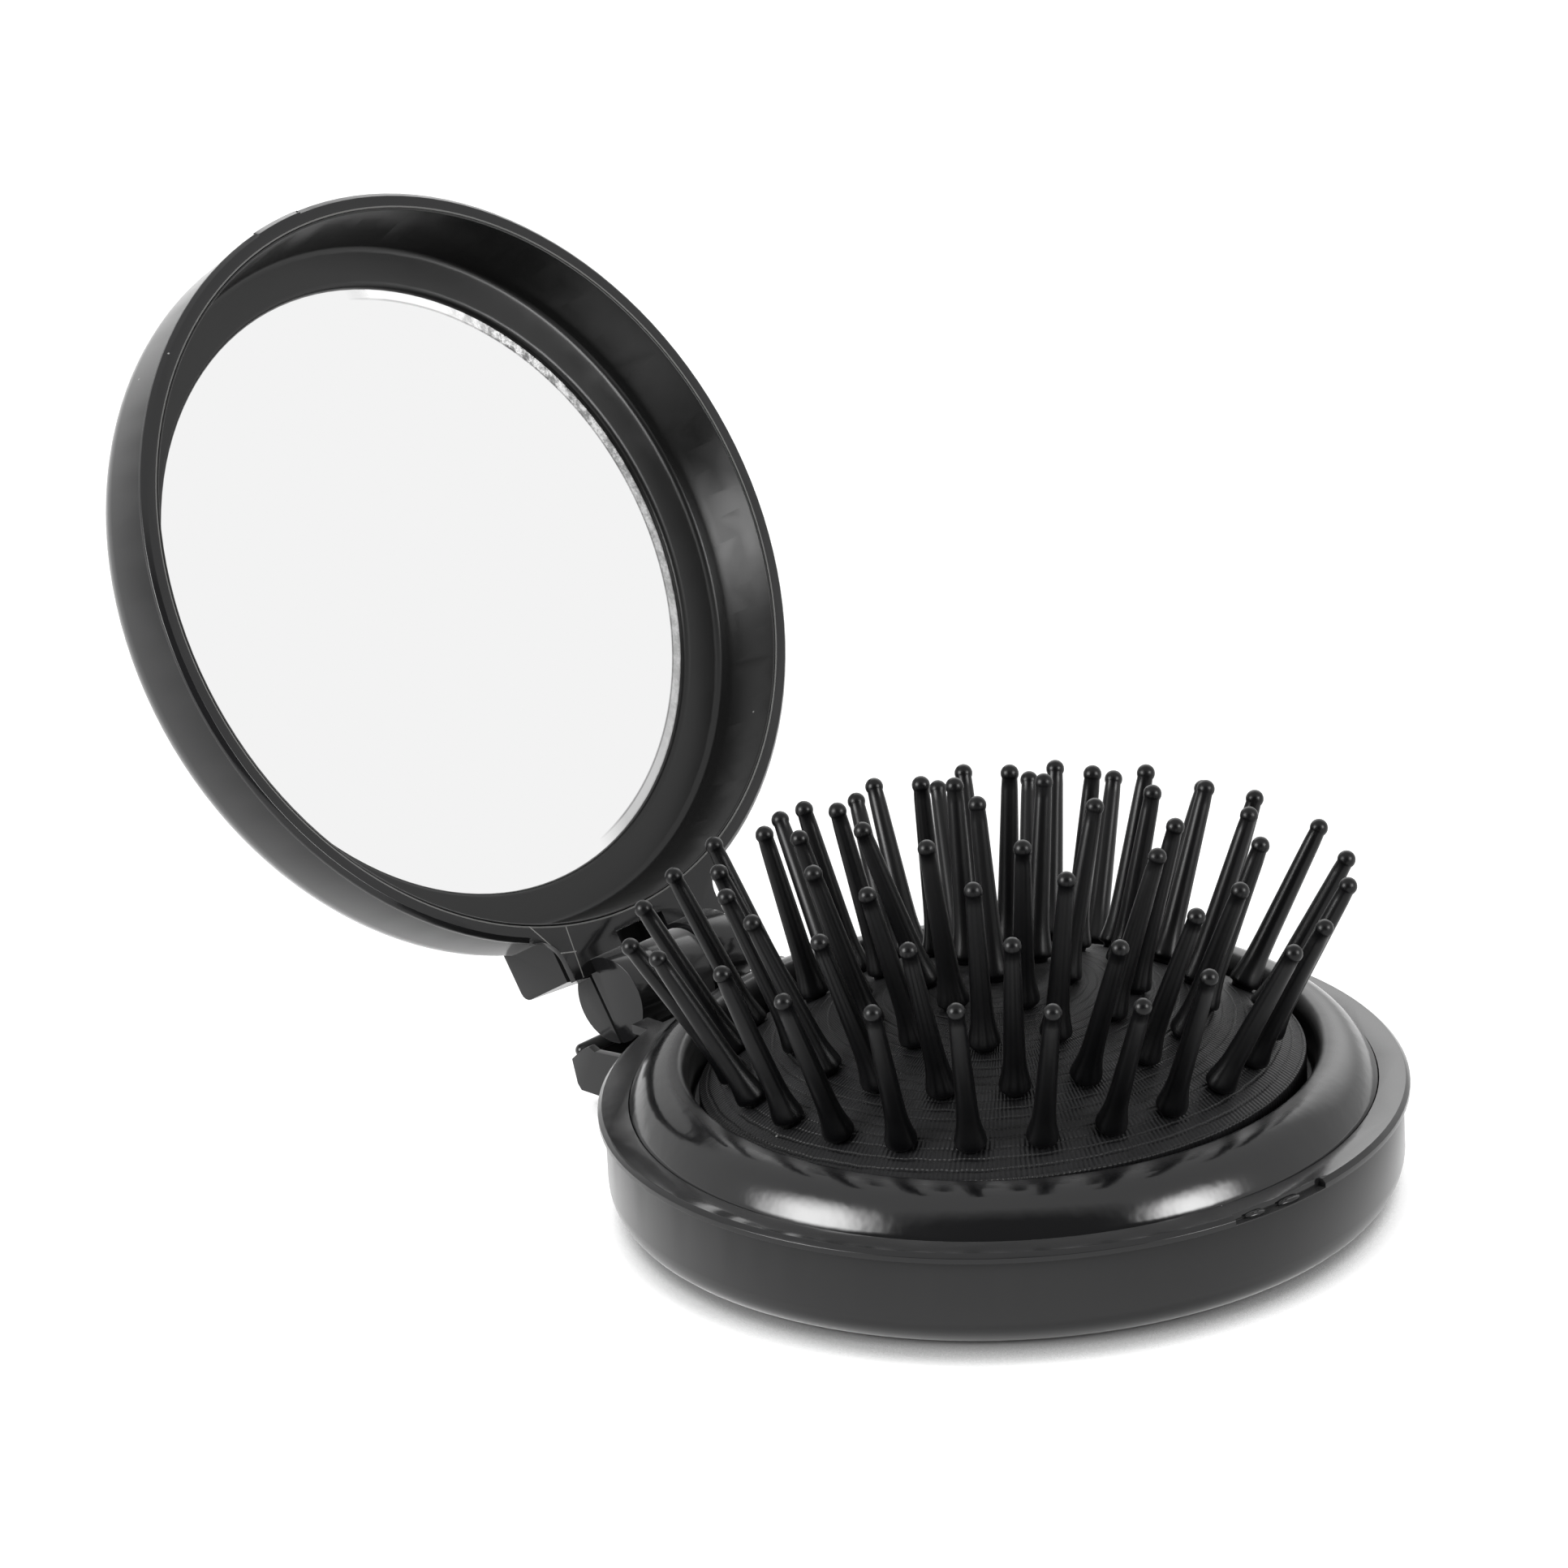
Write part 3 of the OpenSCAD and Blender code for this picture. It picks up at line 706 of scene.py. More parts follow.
# where each ball is seen in the frame of FRAME_PX, ring by ring from the centre out
BALL_PX = (
    ((1204, 992),),
    ((1260, 1046), (1355, 994), (1286, 964), (1176, 969), (1063, 1024), (1142, 1046)),
    (
        *((1314, 1085), (1426, 1056), (1448, 1019), (1420, 978), (1346, 954), (1244, 953)),
        *((1136, 968), (1032, 1000), (985, 1034), (1002, 1077), (1069, 1104), (1199, 1098)),
    ),
    (
        *((1474, 1130), (1528, 1098), (1553, 1042), (1539, 1005), (1487, 966), (1412, 952)),
        *((1300, 948), (1187, 958), (1078, 979), (996, 1003), (946, 1029), (886, 1076)),
        *((895, 1106), (927, 1138), (1010, 1162), (1119, 1172), (1247, 1166), (1380, 1169)),
    ),
    (
        *((1490, 1205), (1594, 1175), (1632, 1144), (1661, 1092), (1659, 1059), (1625, 1020)),
        *((1546, 984), (1482, 972), (1372, 960), (1268, 961), (1156, 974), (1058, 991)),
        *((969, 1016), (888, 1047), (834, 1081), (793, 1120), (777, 1167), (811, 1182)),
        *((890, 1201), (965, 1235), (1075, 1249), (1178, 1247), (1297, 1248), (1408, 1241)),
    ),
)

# radius and height of a bristle's foot and collar in millimetres, for a collar of COLLAR_DRAWN
COLLAR_DRAWN = 1.3
COLLAR = (
    *((0, -0.3), (0.86, -0.3), (0.9, 0.1), (0.98, 0.24), (1.22, 0.3), (1.3, 0.4)),
    *((1.31, 0.6), (1.27, 0.9), (1.16, 1.35), (1.06, 1.9), (0.97, 2.5), (0.91, 3.2)),
)
SHAFT_ROOT = 4.6 * MM  # height at which the collar has run out into the shaft
NECK = 0.96  # share of the shaft's radius at which its ball starts
UNEVEN_PATCH = 2.4  # width of a bristle's uneven patches, in millimetres


def dome_centre():
    """Centre of the sphere of the cushion's face."""
    sizes = settings()[0]
    drop = math.sqrt(sizes.dome_r**2 - CUSHION_R**2)
    return Vector((drop * math.sin(sizes.cushion_lean), 0, CUSHION_TOP - sizes.dome_r))


def bristle_axis(ring, index):
    """Direction in which the regular bristle stands on the leaning face."""
    sizes = settings()[0]
    spread = ring * math.asin((CUSHION_R - sizes.ring_edge) / sizes.dome_r) / (len(RING_NODES) - 1)
    turn = math.radians(RING_TURN[ring]) + TURN * index / max(1, 6 * ring)
    level = Vector((math.sin(spread) * math.cos(turn), math.sin(spread) * math.sin(turn), math.cos(spread)))
    return Matrix.Rotation(-sizes.cushion_lean, 3, "Y") @ level


def bristle_stand(ring, index):
    """Foot and direction of one bristle, bent a little so that its ball lies on its own line of sight."""
    sizes = settings()[0]
    axis = bristle_axis(ring, index)
    foot = dome_centre() + axis * sizes.dome_r
    eye, look = sight_line(BALL_PX[ring][index])
    across = eye + look * (foot - eye).dot(look) - foot
    depth = math.sqrt(max(0, sizes.bristle_l**2 - across.length_squared))
    own = max(((across + look * way).normalized() for way in (-depth, depth)), key=axis.dot)
    swing = min(1, SWING_LIMIT / max(axis.angle(own), 1e-6))
    return foot, axis.slerp(own, swing)


def bristle_press(foot, axis):
    """Direction in which a bristle is pressed under the closed mirror, and the share that it keeps of it.

    The direction leans out half as far again as the bristle, which so stands up as it is pressed.
    """
    sizes = settings()[0]
    outward = (axis * (1 + 2 * axis.z) - UP).normalized()
    room = LID_FACE.z + MIRROR_DEPTH - BALL_GAP - (foot.z + HEAD_DROP)
    reach = axis * (sizes.bristle_l + sizes.ball_r)
    return outward, min(MOST_KEPT, 1 - (reach.z - room) / (reach.dot(outward) * outward.z))


def bristle_outline():
    """Outline of one bristle from the middle of its foot to the top of its ball."""
    sizes = settings()[0]
    foot = [(r * sizes.collar_r / COLLAR_DRAWN, h * MM) for r, h in COLLAR]
    thinner = sizes.shaft_top_r - sizes.shaft_foot_r
    neck_h = sizes.bristle_l - math.sqrt(sizes.ball_r**2 - sizes.shaft_top_r**2)
    steps = (0, 0.15, 0.3, 0.45, 0.6, 0.75, 0.9)
    shaft = [(sizes.shaft_foot_r + thinner * t, SHAFT_ROOT + (neck_h - SHAFT_ROOT) * t) for t in steps]
    start = -math.degrees(math.acos(sizes.shaft_top_r * NECK / sizes.ball_r))
    ball = arc((0, sizes.bristle_l), sizes.ball_r, sizes.ball_r, start, end=90, steps=10)
    return foot + shaft + ball[:-1] + [(0, sizes.bristle_l + sizes.ball_r)]


def ring_tree():
    """Geometry nodes that stand a copy of one bristle on each point, along the point's own direction."""
    tree = bpy.data.node_groups.new("bristle ring", "GeometryNodeTree")
    add = partial(add_node, tree)
    kinds = {"Feet": "Geometry", "Bristle": "Object", "Unevenness": "Float"}
    kinds.update({"Seed": "Int", "Finish": "Material"})
    for name, kind in kinds.items():
        tree.interface.new_socket(name, in_out="INPUT", socket_type="NodeSocket" + kind)
    tree.interface.new_socket("Ring", in_out="OUTPUT", socket_type="NodeSocketGeometry")
    given = add("NodeGroupInput").outputs
    direction = add("GeometryNodeInputNamedAttribute", {"Name": "direction"}, data_type="FLOAT_VECTOR")
    stand = add("FunctionNodeAlignRotationToVector", {"Vector": direction}, axis="Z")
    any_turn = {"Min": (0, 0, 0), "Max": (0, 0, TURN), "Seed": given["Seed"]}
    spin = add("FunctionNodeRandomValue", any_turn, data_type="FLOAT_VECTOR")
    turned = add("FunctionNodeRotateRotation", {0: stand, 1: spin}, rotation_space="LOCAL")
    moulded = add("GeometryNodeObjectInfo", {"Object": given["Bristle"]})
    copies = add(
        "GeometryNodeInstanceOnPoints",
        {"Points": given["Feet"], "Instance": moulded.outputs["Geometry"], "Rotation": turned},
    )
    real = add("GeometryNodeRealizeInstances", {"Geometry": copies})
    stray = add("ShaderNodeTexNoise", {"Scale": per_mm(UNEVEN_PATCH), "Detail": 0.0})
    centred = add("ShaderNodeMath", {0: stray, 1: 0.5}, operation="SUBTRACT")
    reach = add("ShaderNodeMath", {0: centred, 1: given["Unevenness"]}, operation="MULTIPLY")
    normal = add("GeometryNodeInputNormal")
    offset = add("ShaderNodeVectorMath", {0: normal, "Scale": reach}, operation="SCALE")
    rough = add("GeometryNodeSetPosition", {"Geometry": real, "Offset": offset})
    dressed = add("GeometryNodeSetMaterial", {"Geometry": rough, "Material": given["Finish"]})
    add("NodeGroupOutput", {"Ring": dressed})
    return tree


def set_inputs(modifier, values):
    """Sets a geometry nodes modifier's inputs by their names."""
    for item in modifier.node_group.interface.items_tree:
        if item.item_type == "SOCKET" and item.in_out == "INPUT" and item.name in values:
            modifier[item.identifier] = values[item.name]


def split(mesh, parts, name):
    """Cuts a mesh of equal copies, one after another, into one mesh for each."""
    size, faces = len(mesh.vertices) // parts, len(mesh.polygons) // parts
    places = [tuple(v.co) for v in mesh.vertices]
    corners = [tuple(p.vertices) for p in mesh.polygons]
    made = []
    for k in range(parts):
        piece = bpy.data.meshes.new(f"{name}_{k + 1}")
        own = [[c - k * size for c in face] for face in corners[k * faces : (k + 1) * faces]]
        piece.from_pydata(places[k * size : (k + 1) * size], [], own)
        piece.shade_smooth()
        made.append(piece)
    return made


class PieceOperator(bpy.types.Operator):
    """Base of the operators that make a piece"""

    bl_options = {"REGISTER", "UNDO"}


class HAIRBRUSH_OT_bristles(PieceOperator):
    """Makes the moulded bristles, each as a piece of its own"""

    bl_idname = "hairbrush.bristles"
    bl_label = "Bristles"

    def execute(self, context):
        sizes = settings()[0]
        nylon = bristle_nylon()
        tree = ring_tree()
        one = link("bristle", lathe("bristle", bristle_outline(), sizes.bristle_sides))
        for ring, node in enumerate(RING_NODES):
            stands = [bristle_stand(ring, k) for k in range(len(BALL_PX[ring]))]
            feet = bpy.data.meshes.new(node + "_feet")
            feet.from_pydata([foot for foot, _ in stands], [], [])
            directions = feet.attributes.new("direction", "FLOAT_VECTOR", "POINT")
            for point, (_, axis) in zip(directions.data, stands):
                point.vector = axis
            stood = link(node + "_stood", feet)
            modifier = stood.modifiers.new("ring", "NODES")
            modifier.node_group = tree
            values = {"Bristle": one, "Unevenness": sizes.uneven, "Seed": ring, "Finish": nylon}
            set_inputs(modifier, values)
            applied(stood)
            for (foot, axis), mesh in zip(stands, split(stood.data, len(stands), node)):
                piece = finished(link(mesh.name, mesh), "head", nylon, "bristle_nylon", node)
                outward, keep = bristle_press(foot, axis)
                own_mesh(piece)
                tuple(outward)
                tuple(foot)
            bpy.data.objects.remove(stood)
        bpy.data.objects.remove(one)
        return {"FINISHED"}


PAD_RINGS, HOLLOW_RINGS = 110, 12  # of faces over the cushion's face and in its hollow
PAD_EDGE = 0.2 * MM  # rounding of the cushion's edge
PAD_WALL = 2.6 * MM  # from the cushion's edge to its hollow
PAD_FACE = 0.6 * MM  # depth under the crown that still counts as the cushion's face
DIMPLE_R = 1.9 * MM  # radius of the dip round each bristle


class HAIRBRUSH_OT_cushion(PieceOperator):
    """Makes the domed rubber cushion with a dimple round each bristle"""

    bl_idname = "hairbrush.cushion"
    bl_label = "Cushion"

    def execute(self, context):
        sizes = settings()[0]
        centre = dome_centre()
        level = centre.z + math.sqrt(sizes.dome_r**2 - CUSHION_R**2) * (math.cos(sizes.cushion_lean) - 1)

        def dome(r, sphere_r=sizes.dome_r):
            """Height of an upright dome at that radius."""
            return level + math.sqrt(sphere_r**2 - r**2)

        reach = CUSHION_R - PAD_EDGE
        crown = [(reach * i / PAD_RINGS, dome(reach * i / PAD_RINGS)) for i in range(PAD_RINGS + 1)]
        shoulder = crown[-1][1] - PAD_EDGE
        side = arc((reach, shoulder), PAD_EDGE, PAD_EDGE, start=62, end=0, steps=5)
        inner_r = CUSHION_R - PAD_WALL
        inner_radii = [inner_r * (1 - i / HOLLOW_RINGS) for i in range(HOLLOW_RINGS + 1)]
        under = [(r, dome(r, sizes.dome_r - sizes.cushion_t)) for r in inner_radii]
        outline = crown + side + [(CUSHION_R, CUSHION_Z), (inner_r, CUSHION_Z)] + under
        mesh = lathe("cushion_pad", outline, sizes.lathe_sides)
        feet = [bristle_stand(ring, k)[0] for ring, balls in enumerate(BALL_PX) for k in range(len(balls))]
        for v in mesh.vertices:
            upright = dome(v.co.xy.length)
            leaned = centre.z + math.sqrt(sizes.dome_r**2 - (v.co.xy - centre.xy).length_squared)
            on_face = v.co.z > upright - PAD_FACE
            v.co.z += (leaned - upright) * min(1, max(0, (v.co.z - CUSHION_Z) / (shoulder - CUSHION_Z)))
            if not on_face:
                continue
            gap = min((v.co - foot).length_squared for foot in feet) ** 0.5
            if gap < DIMPLE_R:
                v.co.z -= sizes.dimple_depth * (0.5 + 0.5 * math.cos(math.pi * gap / DIMPLE_R))
        pad = finished(link("cushion_pad", mesh), "head", cushion_rubber(), "cushion_rubber", "cushion")
        return {"FINISHED"}


class HAIRBRUSH_OT_head_plates(PieceOperator):
    """Finishes the button and the carrier under the cushion"""

    bl_idname = "hairbrush.head_plates"
    bl_label = "Button and carrier"

    def execute(self, context):
        button = rounded_copy("push_button", "button_disc")
        finished(button, "head", satin_abs(), "case_satin", "push_button")
        carrier = rounded_copy("head_carrier", "carrier_disc")
        finished(carrier, "head", plate_abs(), "rim_matte", "head_carrier")
        return {"FINISHED"}


# ---------- the base ----------

NEAR = 0.1 * MM  # how near a packed point counts as on an edge
HINGE_SIDE = -30 * MM  # X past which the tray, the knuckles and the lug stand
TRAY_LIP = Vector((-39.1, 0, 4.3)) * MM  # middle of the rounded lip along the tray's open edge
TRAY_LIP_R = 0.62 * MM  # radius of that lip
TRAY_HALF = 8.9 * MM  # half of the tray's width
POCKET_HALF = 7.37 * MM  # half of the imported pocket's width in the tray
POCKET_OPEN = 8.2 * MM  # half of its width with the thin walls
EDGE_BAND = 0.6 * MM  # width of a rim plate's outer edge that is rounded most
BASE_WIDER = 2.6  # how much wider that edge of the base's plate is rounded
EDGE_LIFT = 0.16 * MM  # how far the plate's lower outer edge is lifted off the shell
CATCH_FROM = 0.4 * MM  # depth under the plate's face from which the catch recess's floor lies
CATCH_FLOOR = 0.25 * MM  # height of the catch recess's floor over the plate's foot
CATCH_NUBS = ((-4.2, 1.2 * MM), (-10.6, 1.0 * MM))  # turn from the front and half length of each catch nub
NUB_HALF = (0.34 * MM, 0.19 * MM)  # half of a nub's width and height
NUB_PLACE = Vector((RIM_R - 0.5 * MM, 0, BASE_TOP - 0.52 * MM))  # before its turn


def widened_tray(point):
    """Thins the tray's side walls, so that its pocket shows behind the lip."""
    if point.x < HINGE_SIDE and abs(abs(point.y) - POCKET_HALF) < 0.05 * MM:
        point.y = math.copysign(POCKET_OPEN, point.y)
    return point


def undercut_base(point):
    """Lifts the rim plate's lower outer edge off the shell and deepens the catch recess."""
    if point.xy.length > RIM_R - NEAR and point.z < RIM_FOOT + 0.01 * MM:
        point.z += EDGE_LIFT
    elif point.x > 0 and RIM_FOOT + NEAR < point.z < BASE_TOP - CATCH_FROM:
        point.z = RIM_FOOT + CATCH_FLOOR
    return point


def rim_softness(point):
    """How much wider a rim plate's edge is rounded: most at its outer edge."""
    return BASE_WIDER if point.xy.length > RIM_R - EDGE_BAND else 1


def add_lip(mesh):
    """Adds the tray's lip, a round bar along Y with domed ends."""

    def moved(point):
        y = point.z + math.copysign(TRAY_HALF - TRAY_LIP_R, point.z)
        return Vector((point.x, y, -point.y)) + TRAY_LIP

    add_solid(mesh, bmesh.ops.create_uvsphere, moved, u_segments=20, v_segments=12, radius=TRAY_LIP_R)


def add_nub(mesh, turn, half):
    """Adds one low rounded nub inside the catch recess, along the rim."""
    size = Matrix.Diagonal((NUB_HALF[0], half, NUB_HALF[1]))
    turned = Matrix.Rotation(math.radians(turn), 3, "Z")

    def moved(point):
        return turned @ (size @ point + NUB_PLACE)

    add_solid(mesh, bmesh.ops.create_uvsphere, moved, u_segments=16, v_segments=10, radius=1)


class HAIRBRUSH_OT_base(PieceOperator):
    """Finishes the base shell and its rim plate"""

    bl_idname = "hairbrush.base"
    bl_label = "Base"

    def execute(self, context):
        shell = rounded_copy("base_shell", "base_tray_shell", shaped=widened_tray)
        add_lip(shell.data)
        finished(shell, "base", satin_abs(), "case_satin", "base_shell")
        rim = rounded_copy("base_rim", "base_rim_plate", shaped=undercut_base, softness=rim_softness)
        for turn, half in CATCH_NUBS:
            add_nub(rim.data, turn, half)
        finished(rim, "base", plate_abs(), "rim_matte", "base_rim")
        return {"FINISHED"}


BEZEL_WALL = 1.1 * MM  # thickness of the bezel's shell
SLEEVE_WALL = 1.2 * MM  # thickness of the sleeve that guides the head


class HAIRBRUSH_OT_bezel(PieceOperator):
    """Makes the polished bezel round the head"""

    bl_idname = "hairbrush.bezel"
    bl_label = "Bezel"

    def execute(self, context):
        sizes = settings()[0]
        crest_r, mouth_r = sizes.bezel_crest_r, sizes.bezel_mouth_r
        sleeve_r = mouth_r + SLEEVE_WALL
        floor_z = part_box("bezel")[0].z
        lip_drop = BEZEL_TOP - BASE_TOP - sizes.bezel_lip_h
        out_w, crest_h = BEZEL_FOOT_R - crest_r, BEZEL_TOP - BASE_TOP
        flank = slope(crest_r, out_w, BEZEL_TOP, crest_h, steps=24, power=2.8, even=0.14)[::-1]
        throat = slope(crest_r, mouth_r - crest_r, BEZEL_TOP, lip_drop, steps=16, power=2.5)[1:]
        under_w, under_h = BEZEL_FOOT_R - sleeve_r - BEZEL_WALL, BEZEL_TOP - RIM_FOOT - BEZEL_WALL
        under = arc((sleeve_r, RIM_FOOT), under_w, under_h, start=90, end=0, steps=8)
        sleeve = [(mouth_r, floor_z), (sleeve_r, floor_z)]
        outline = [(BEZEL_FOOT_R, RIM_FOOT)] + flank + throat + sleeve + under
        ring = link("bezel_ring", lathe("bezel_ring", outline, sizes.lathe_sides))
        ring.data.set_sharp_from_angle(angle=math.radians(50))
        finished(ring, "base", polished_abs(), "trim_gloss", "bezel")
        return {"FINISHED"}


class HAIRBRUSH_OT_hinge_pin(PieceOperator):
    """Finishes the hinge pin"""

    bl_idname = "hairbrush.hinge_pin"
    bl_label = "Hinge pin"

    def execute(self, context):
        finished(rounded_copy("hinge_pin", "pin_rod"), "base", drawn_steel(), "pin_steel", "hinge_pin")
        return {"FINISHED"}


# ---------- the lid, in the closed lid's frame ----------

PLATE_BACK = 0.95 * MM  # depth of the lid's rim plate
PLATE_INNER_R = 31.15 * MM  # radius of its inner edge
UNDERCUT = 0.32 * MM  # how far its back edge stands off the shell
KNUCKLE_X = -33 * MM  # X past which the plate's knuckles stand
KNUCKLE_END = 6.47 * MM  # half of the width over both knuckles
KNUCKLE_WIDER, LID_WIDER = 2.4, 2.2  # how much wider its knuckles and its outer edge are rounded
SEAM_OPEN = 0.2 * MM  # gap of the seam through the knuckles
EAR_HALF = 8.8 * MM  # half of the width over the plate's two ears
LUG_X = -34 * MM  # X past which the shell's lug stands
LUG_SIDE = 8 * MM  # half of the width inside which the lug has no edge
LUG_FRONT = 1.2 * MM  # depth from which its edges lie
LUG_CUT = 0.4 * MM  # by which the lug is shortened
TAB_PROUD, TAB_SUNK = 0.1 * MM, -0.2 * MM  # how far the thumb tab stands out, behind and in front
SLOT_STOP = (Vector((-34.4, -2.75, 3.2)) * MM, Vector((-32.2, 2.75, 4.4)) * MM)  # web across the slot
CUP_DEPTH = 2 * MM  # below which the cup's edges are crisp

# corners of the fine scratches across the plate beside the hinge, in millimetres
SCRATCHES = (
    ((-29.1, -11.0), (-32.2, -9.2)),
    ((-32.2, -9.2), (-32.6, -7.5)),
    ((-30.4, -7.4), (-35.8, -8.1)),
)


def shaped_rim(point):
    """Opens the knuckles' seam, undercuts the plate and lowers the thumb tab."""
    flat = point.xy.length
    at_back = abs(point.z - PLATE_BACK) < 0.02 * MM
    if point.x < KNUCKLE_X and abs(point.y) < KNUCKLE_END + NEAR:
        if at_back:
            point.z -= SEAM_OPEN
    elif at_back and (flat > RIM_R - NEAR or abs(point.y) > EAR_HALF):
        point.z -= UNDERCUT
    if flat > RIM_R + NEAR and point.x > 0:
        point.xy *= (RIM_R + (TAB_PROUD if at_back or point.z > 0.5 * MM else TAB_SUNK)) / flat
    return point


def shaped_shell(point):
    """Shortens the lug a little."""
    if point.x < LUG_X and abs(point.y) > KNUCKLE_END + NEAR:
        point.x += LUG_CUT
    return point


def lid_rim_softness(point):
    """How much wider the lid plate's edge is rounded: most at its outer edge and on the knuckles."""
    if point.x < KNUCKLE_X or abs(point.y) > EAR_HALF and point.x < HINGE_SIDE:
        return KNUCKLE_WIDER
    return LID_WIDER if point.xy.length > RIM_R - EDGE_BAND else 1


def shell_softness(point):
    """How much wider the lid shell's edge is rounded: most round the lug."""
    at_lug = point.x < HINGE_SIDE and abs(point.y) > LUG_SIDE and point.z > LUG_FRONT
    return WIDEST if at_lug else 1


def cup_softness(point):
    """How much wider the cup's edge is rounded: not at all in its depth, where the mould is crisp."""
    return 0 if point.z > CUP_DEPTH else 1


def add_stop(mesh):
    """Adds the web that closes the slot behind the base's knuckle."""
    low, high = SLOT_STOP

    def moved(point):
        return LID_OPEN @ Vector([a + (b - a) * (c + 0.5) for a, b, c in zip(low, high, point)])

    add_solid(mesh, bmesh.ops.create_cube, moved, smooth=False, size=1)


class HAIRBRUSH_OT_lid(PieceOperator):
    """Finishes the lid shell and its rim plate"""

    bl_idname = "hairbrush.lid"
    bl_label = "Lid"

    def execute(self, context):
        shell = rounded_copy("lid_shell", "lid_back_shell", LID_OPEN, shaped_shell, shell_softness)
        add_stop(shell.data)
        finished(shell, "lid", satin_abs(), "case_satin", "lid_shell")
        rim = rounded_copy("lid_rim", "lid_rim_plate", LID_OPEN, shaped_rim, lid_rim_softness)
        marks = [[LID_OPEN @ (Vector((*end, 0)) * MM) for end in ends] for ends in SCRATCHES]
        # the pale line along the plate's inner edge, at PLATE_INNER_R, is a painted highlight
        finished(rim, "lid", plate_abs(marks, PLATE_INNER_R), "rim_matte", "lid_rim")
        return {"FINISHED"}


class HAIRBRUSH_OT_mirror(PieceOperator):
    """Finishes the cup, the mirror and the sheet that holds it"""

    bl_idname = "hairbrush.mirror"
    bl_label = "Mirror and cup"

    def execute(self, context):
        cup = rounded_copy("mirror_cup", "mirror_cup_liner", LID_OPEN, softness=cup_softness)
        finished(cup, "lid", cup_abs(), "trim_gloss", "mirror_cup")
        finished(rounded_copy("mirror", "mirror_glass"), "lid", silvered_glass(), "mirror_glass", "mirror")
        finished(rounded_copy("mirror_tape", "mirror_sheet"), "lid", adhesive_tape(), "tape", "mirror_tape")
        return {"FINISHED"}


# ---------- the stage ----------

FLOOR_SIDE = 8  # metres
SHADOW_REACH = 5.5 * MM  # from the brush to where the painted shadow fades and the floor looks white again
SHADOW_LEAN = (0.87, 0.5)  # how far the painted shadow's opening looks away from the camera, and up
DIM_FROM, DIM_TO = math.radians(62), math.radians(44)  # turns from the camera's side between which gloss dims
BACK_BOX = (1.3, 0.5)  # width and height of the softbox behind, in metres
BACK_HEIGHT = math.radians(30)  # height of that softbox as an angle
RIGHT_TURN, RIGHT_SIZE, RIGHT_POWER = 0.93, 0.75, 0.6  # shares that the right softbox has of the left one's


def stage_floor(studio):
    """A pale painted floor that glows white to the camera and in gloss; near the brush its glow fades with
    ambient occlusion, a painted shadow added to the shadow its paint keeps.
    """
    bpy.ops.mesh.primitive_plane_add(size=FLOOR_SIDE)
    floor = bpy.context.object
    floor.name = "floor"
    material, add = new_material("painted floor")
    paint = add("ShaderNodeBsdfDiffuse", {"Color": rgba(studio.floor)})
    rays = add("ShaderNodeLightPath").outputs
    either = {0: rays["Is Camera Ray"], 1: rays["Is Glossy Ray"]}
    seen = add("ShaderNodeMath", either, operation="MAXIMUM")
    # painted shadow: the glow fades where ambient occlusion, sought round a normal leaned away from the
    # camera, finds the brush
    away, up = SHADOW_LEAN
    lean = {"X": -away * math.sin(studio.azimuth), "Y": away * math.cos(studio.azimuth), "Z": up}
    back = add("ShaderNodeCombineXYZ", lean)
    around = {"Distance": SHADOW_REACH, "Normal": back}
    nearby = add("ShaderNodeAmbientOcclusion", around, samples=8)
    open_floor = add(
        "ShaderNodeMapRange",
        {"Value": nearby.outputs["AO"], "From Min": 0.32, "From Max": 0.7, "To Max": studio.floor_lift},
        interpolation_type="SMOOTHSTEP",
    )
    lift = add("ShaderNodeMath", {0: seen, 1: open_floor}, operation="MULTIPLY")
    glow = add("ShaderNodeEmission", {"Strength": lift})
    both = add("ShaderNodeAddShader", {0: paint, 1: glow})
    add("ShaderNodeOutputMaterial", {"Surface": both})
    floor.data.materials.append(material)


def stage_world(studio):
    """White all round to the eye but for a dim side in the gloss, and a plain fill for the rest."""
    world = bpy.data.worlds.new("studio")
    bpy.context.scene.world = world
    world.use_nodes = True
    world.node_tree.nodes.clear()
    add = partial(add_node, world.node_tree)
    rays = add("ShaderNodeLightPath").outputs
    away = add("ShaderNodeTexCoord").outputs["Generated"]
    toward = (math.sin(studio.azimuth), -math.cos(studio.azimuth), 0)
    facing = add("ShaderNodeVectorMath", {0: away, 1: toward}, operation="DOT_PRODUCT")
    side = add(
        "ShaderNodeMapRange",
        {
            "Value": facing.outputs["Value"],
            "From Min": math.cos(DIM_FROM),
            "From Max": math.cos(DIM_TO),
            "To Min": 1.0,
            "To Max": studio.dim_side,
        },
    )
    gloss = add("ShaderNodeMix", {"Factor": rays["Is Glossy Ray"], "A": studio.world_fill, "B": side})
    either = {0: rays["Is Camera Ray"], 1: rays["Is Transmission Ray"]}
    seen = add("ShaderNodeMath", either, operation="MAXIMUM")
    strength = add("ShaderNodeMix", {"Factor": seen, "A": gloss, "B": 1.0})
    sky = add("ShaderNodeBackground", {"Color": (1, 1, 1, 1), "Strength": strength})
    add("ShaderNodeOutputWorld", {"Surface": sky})


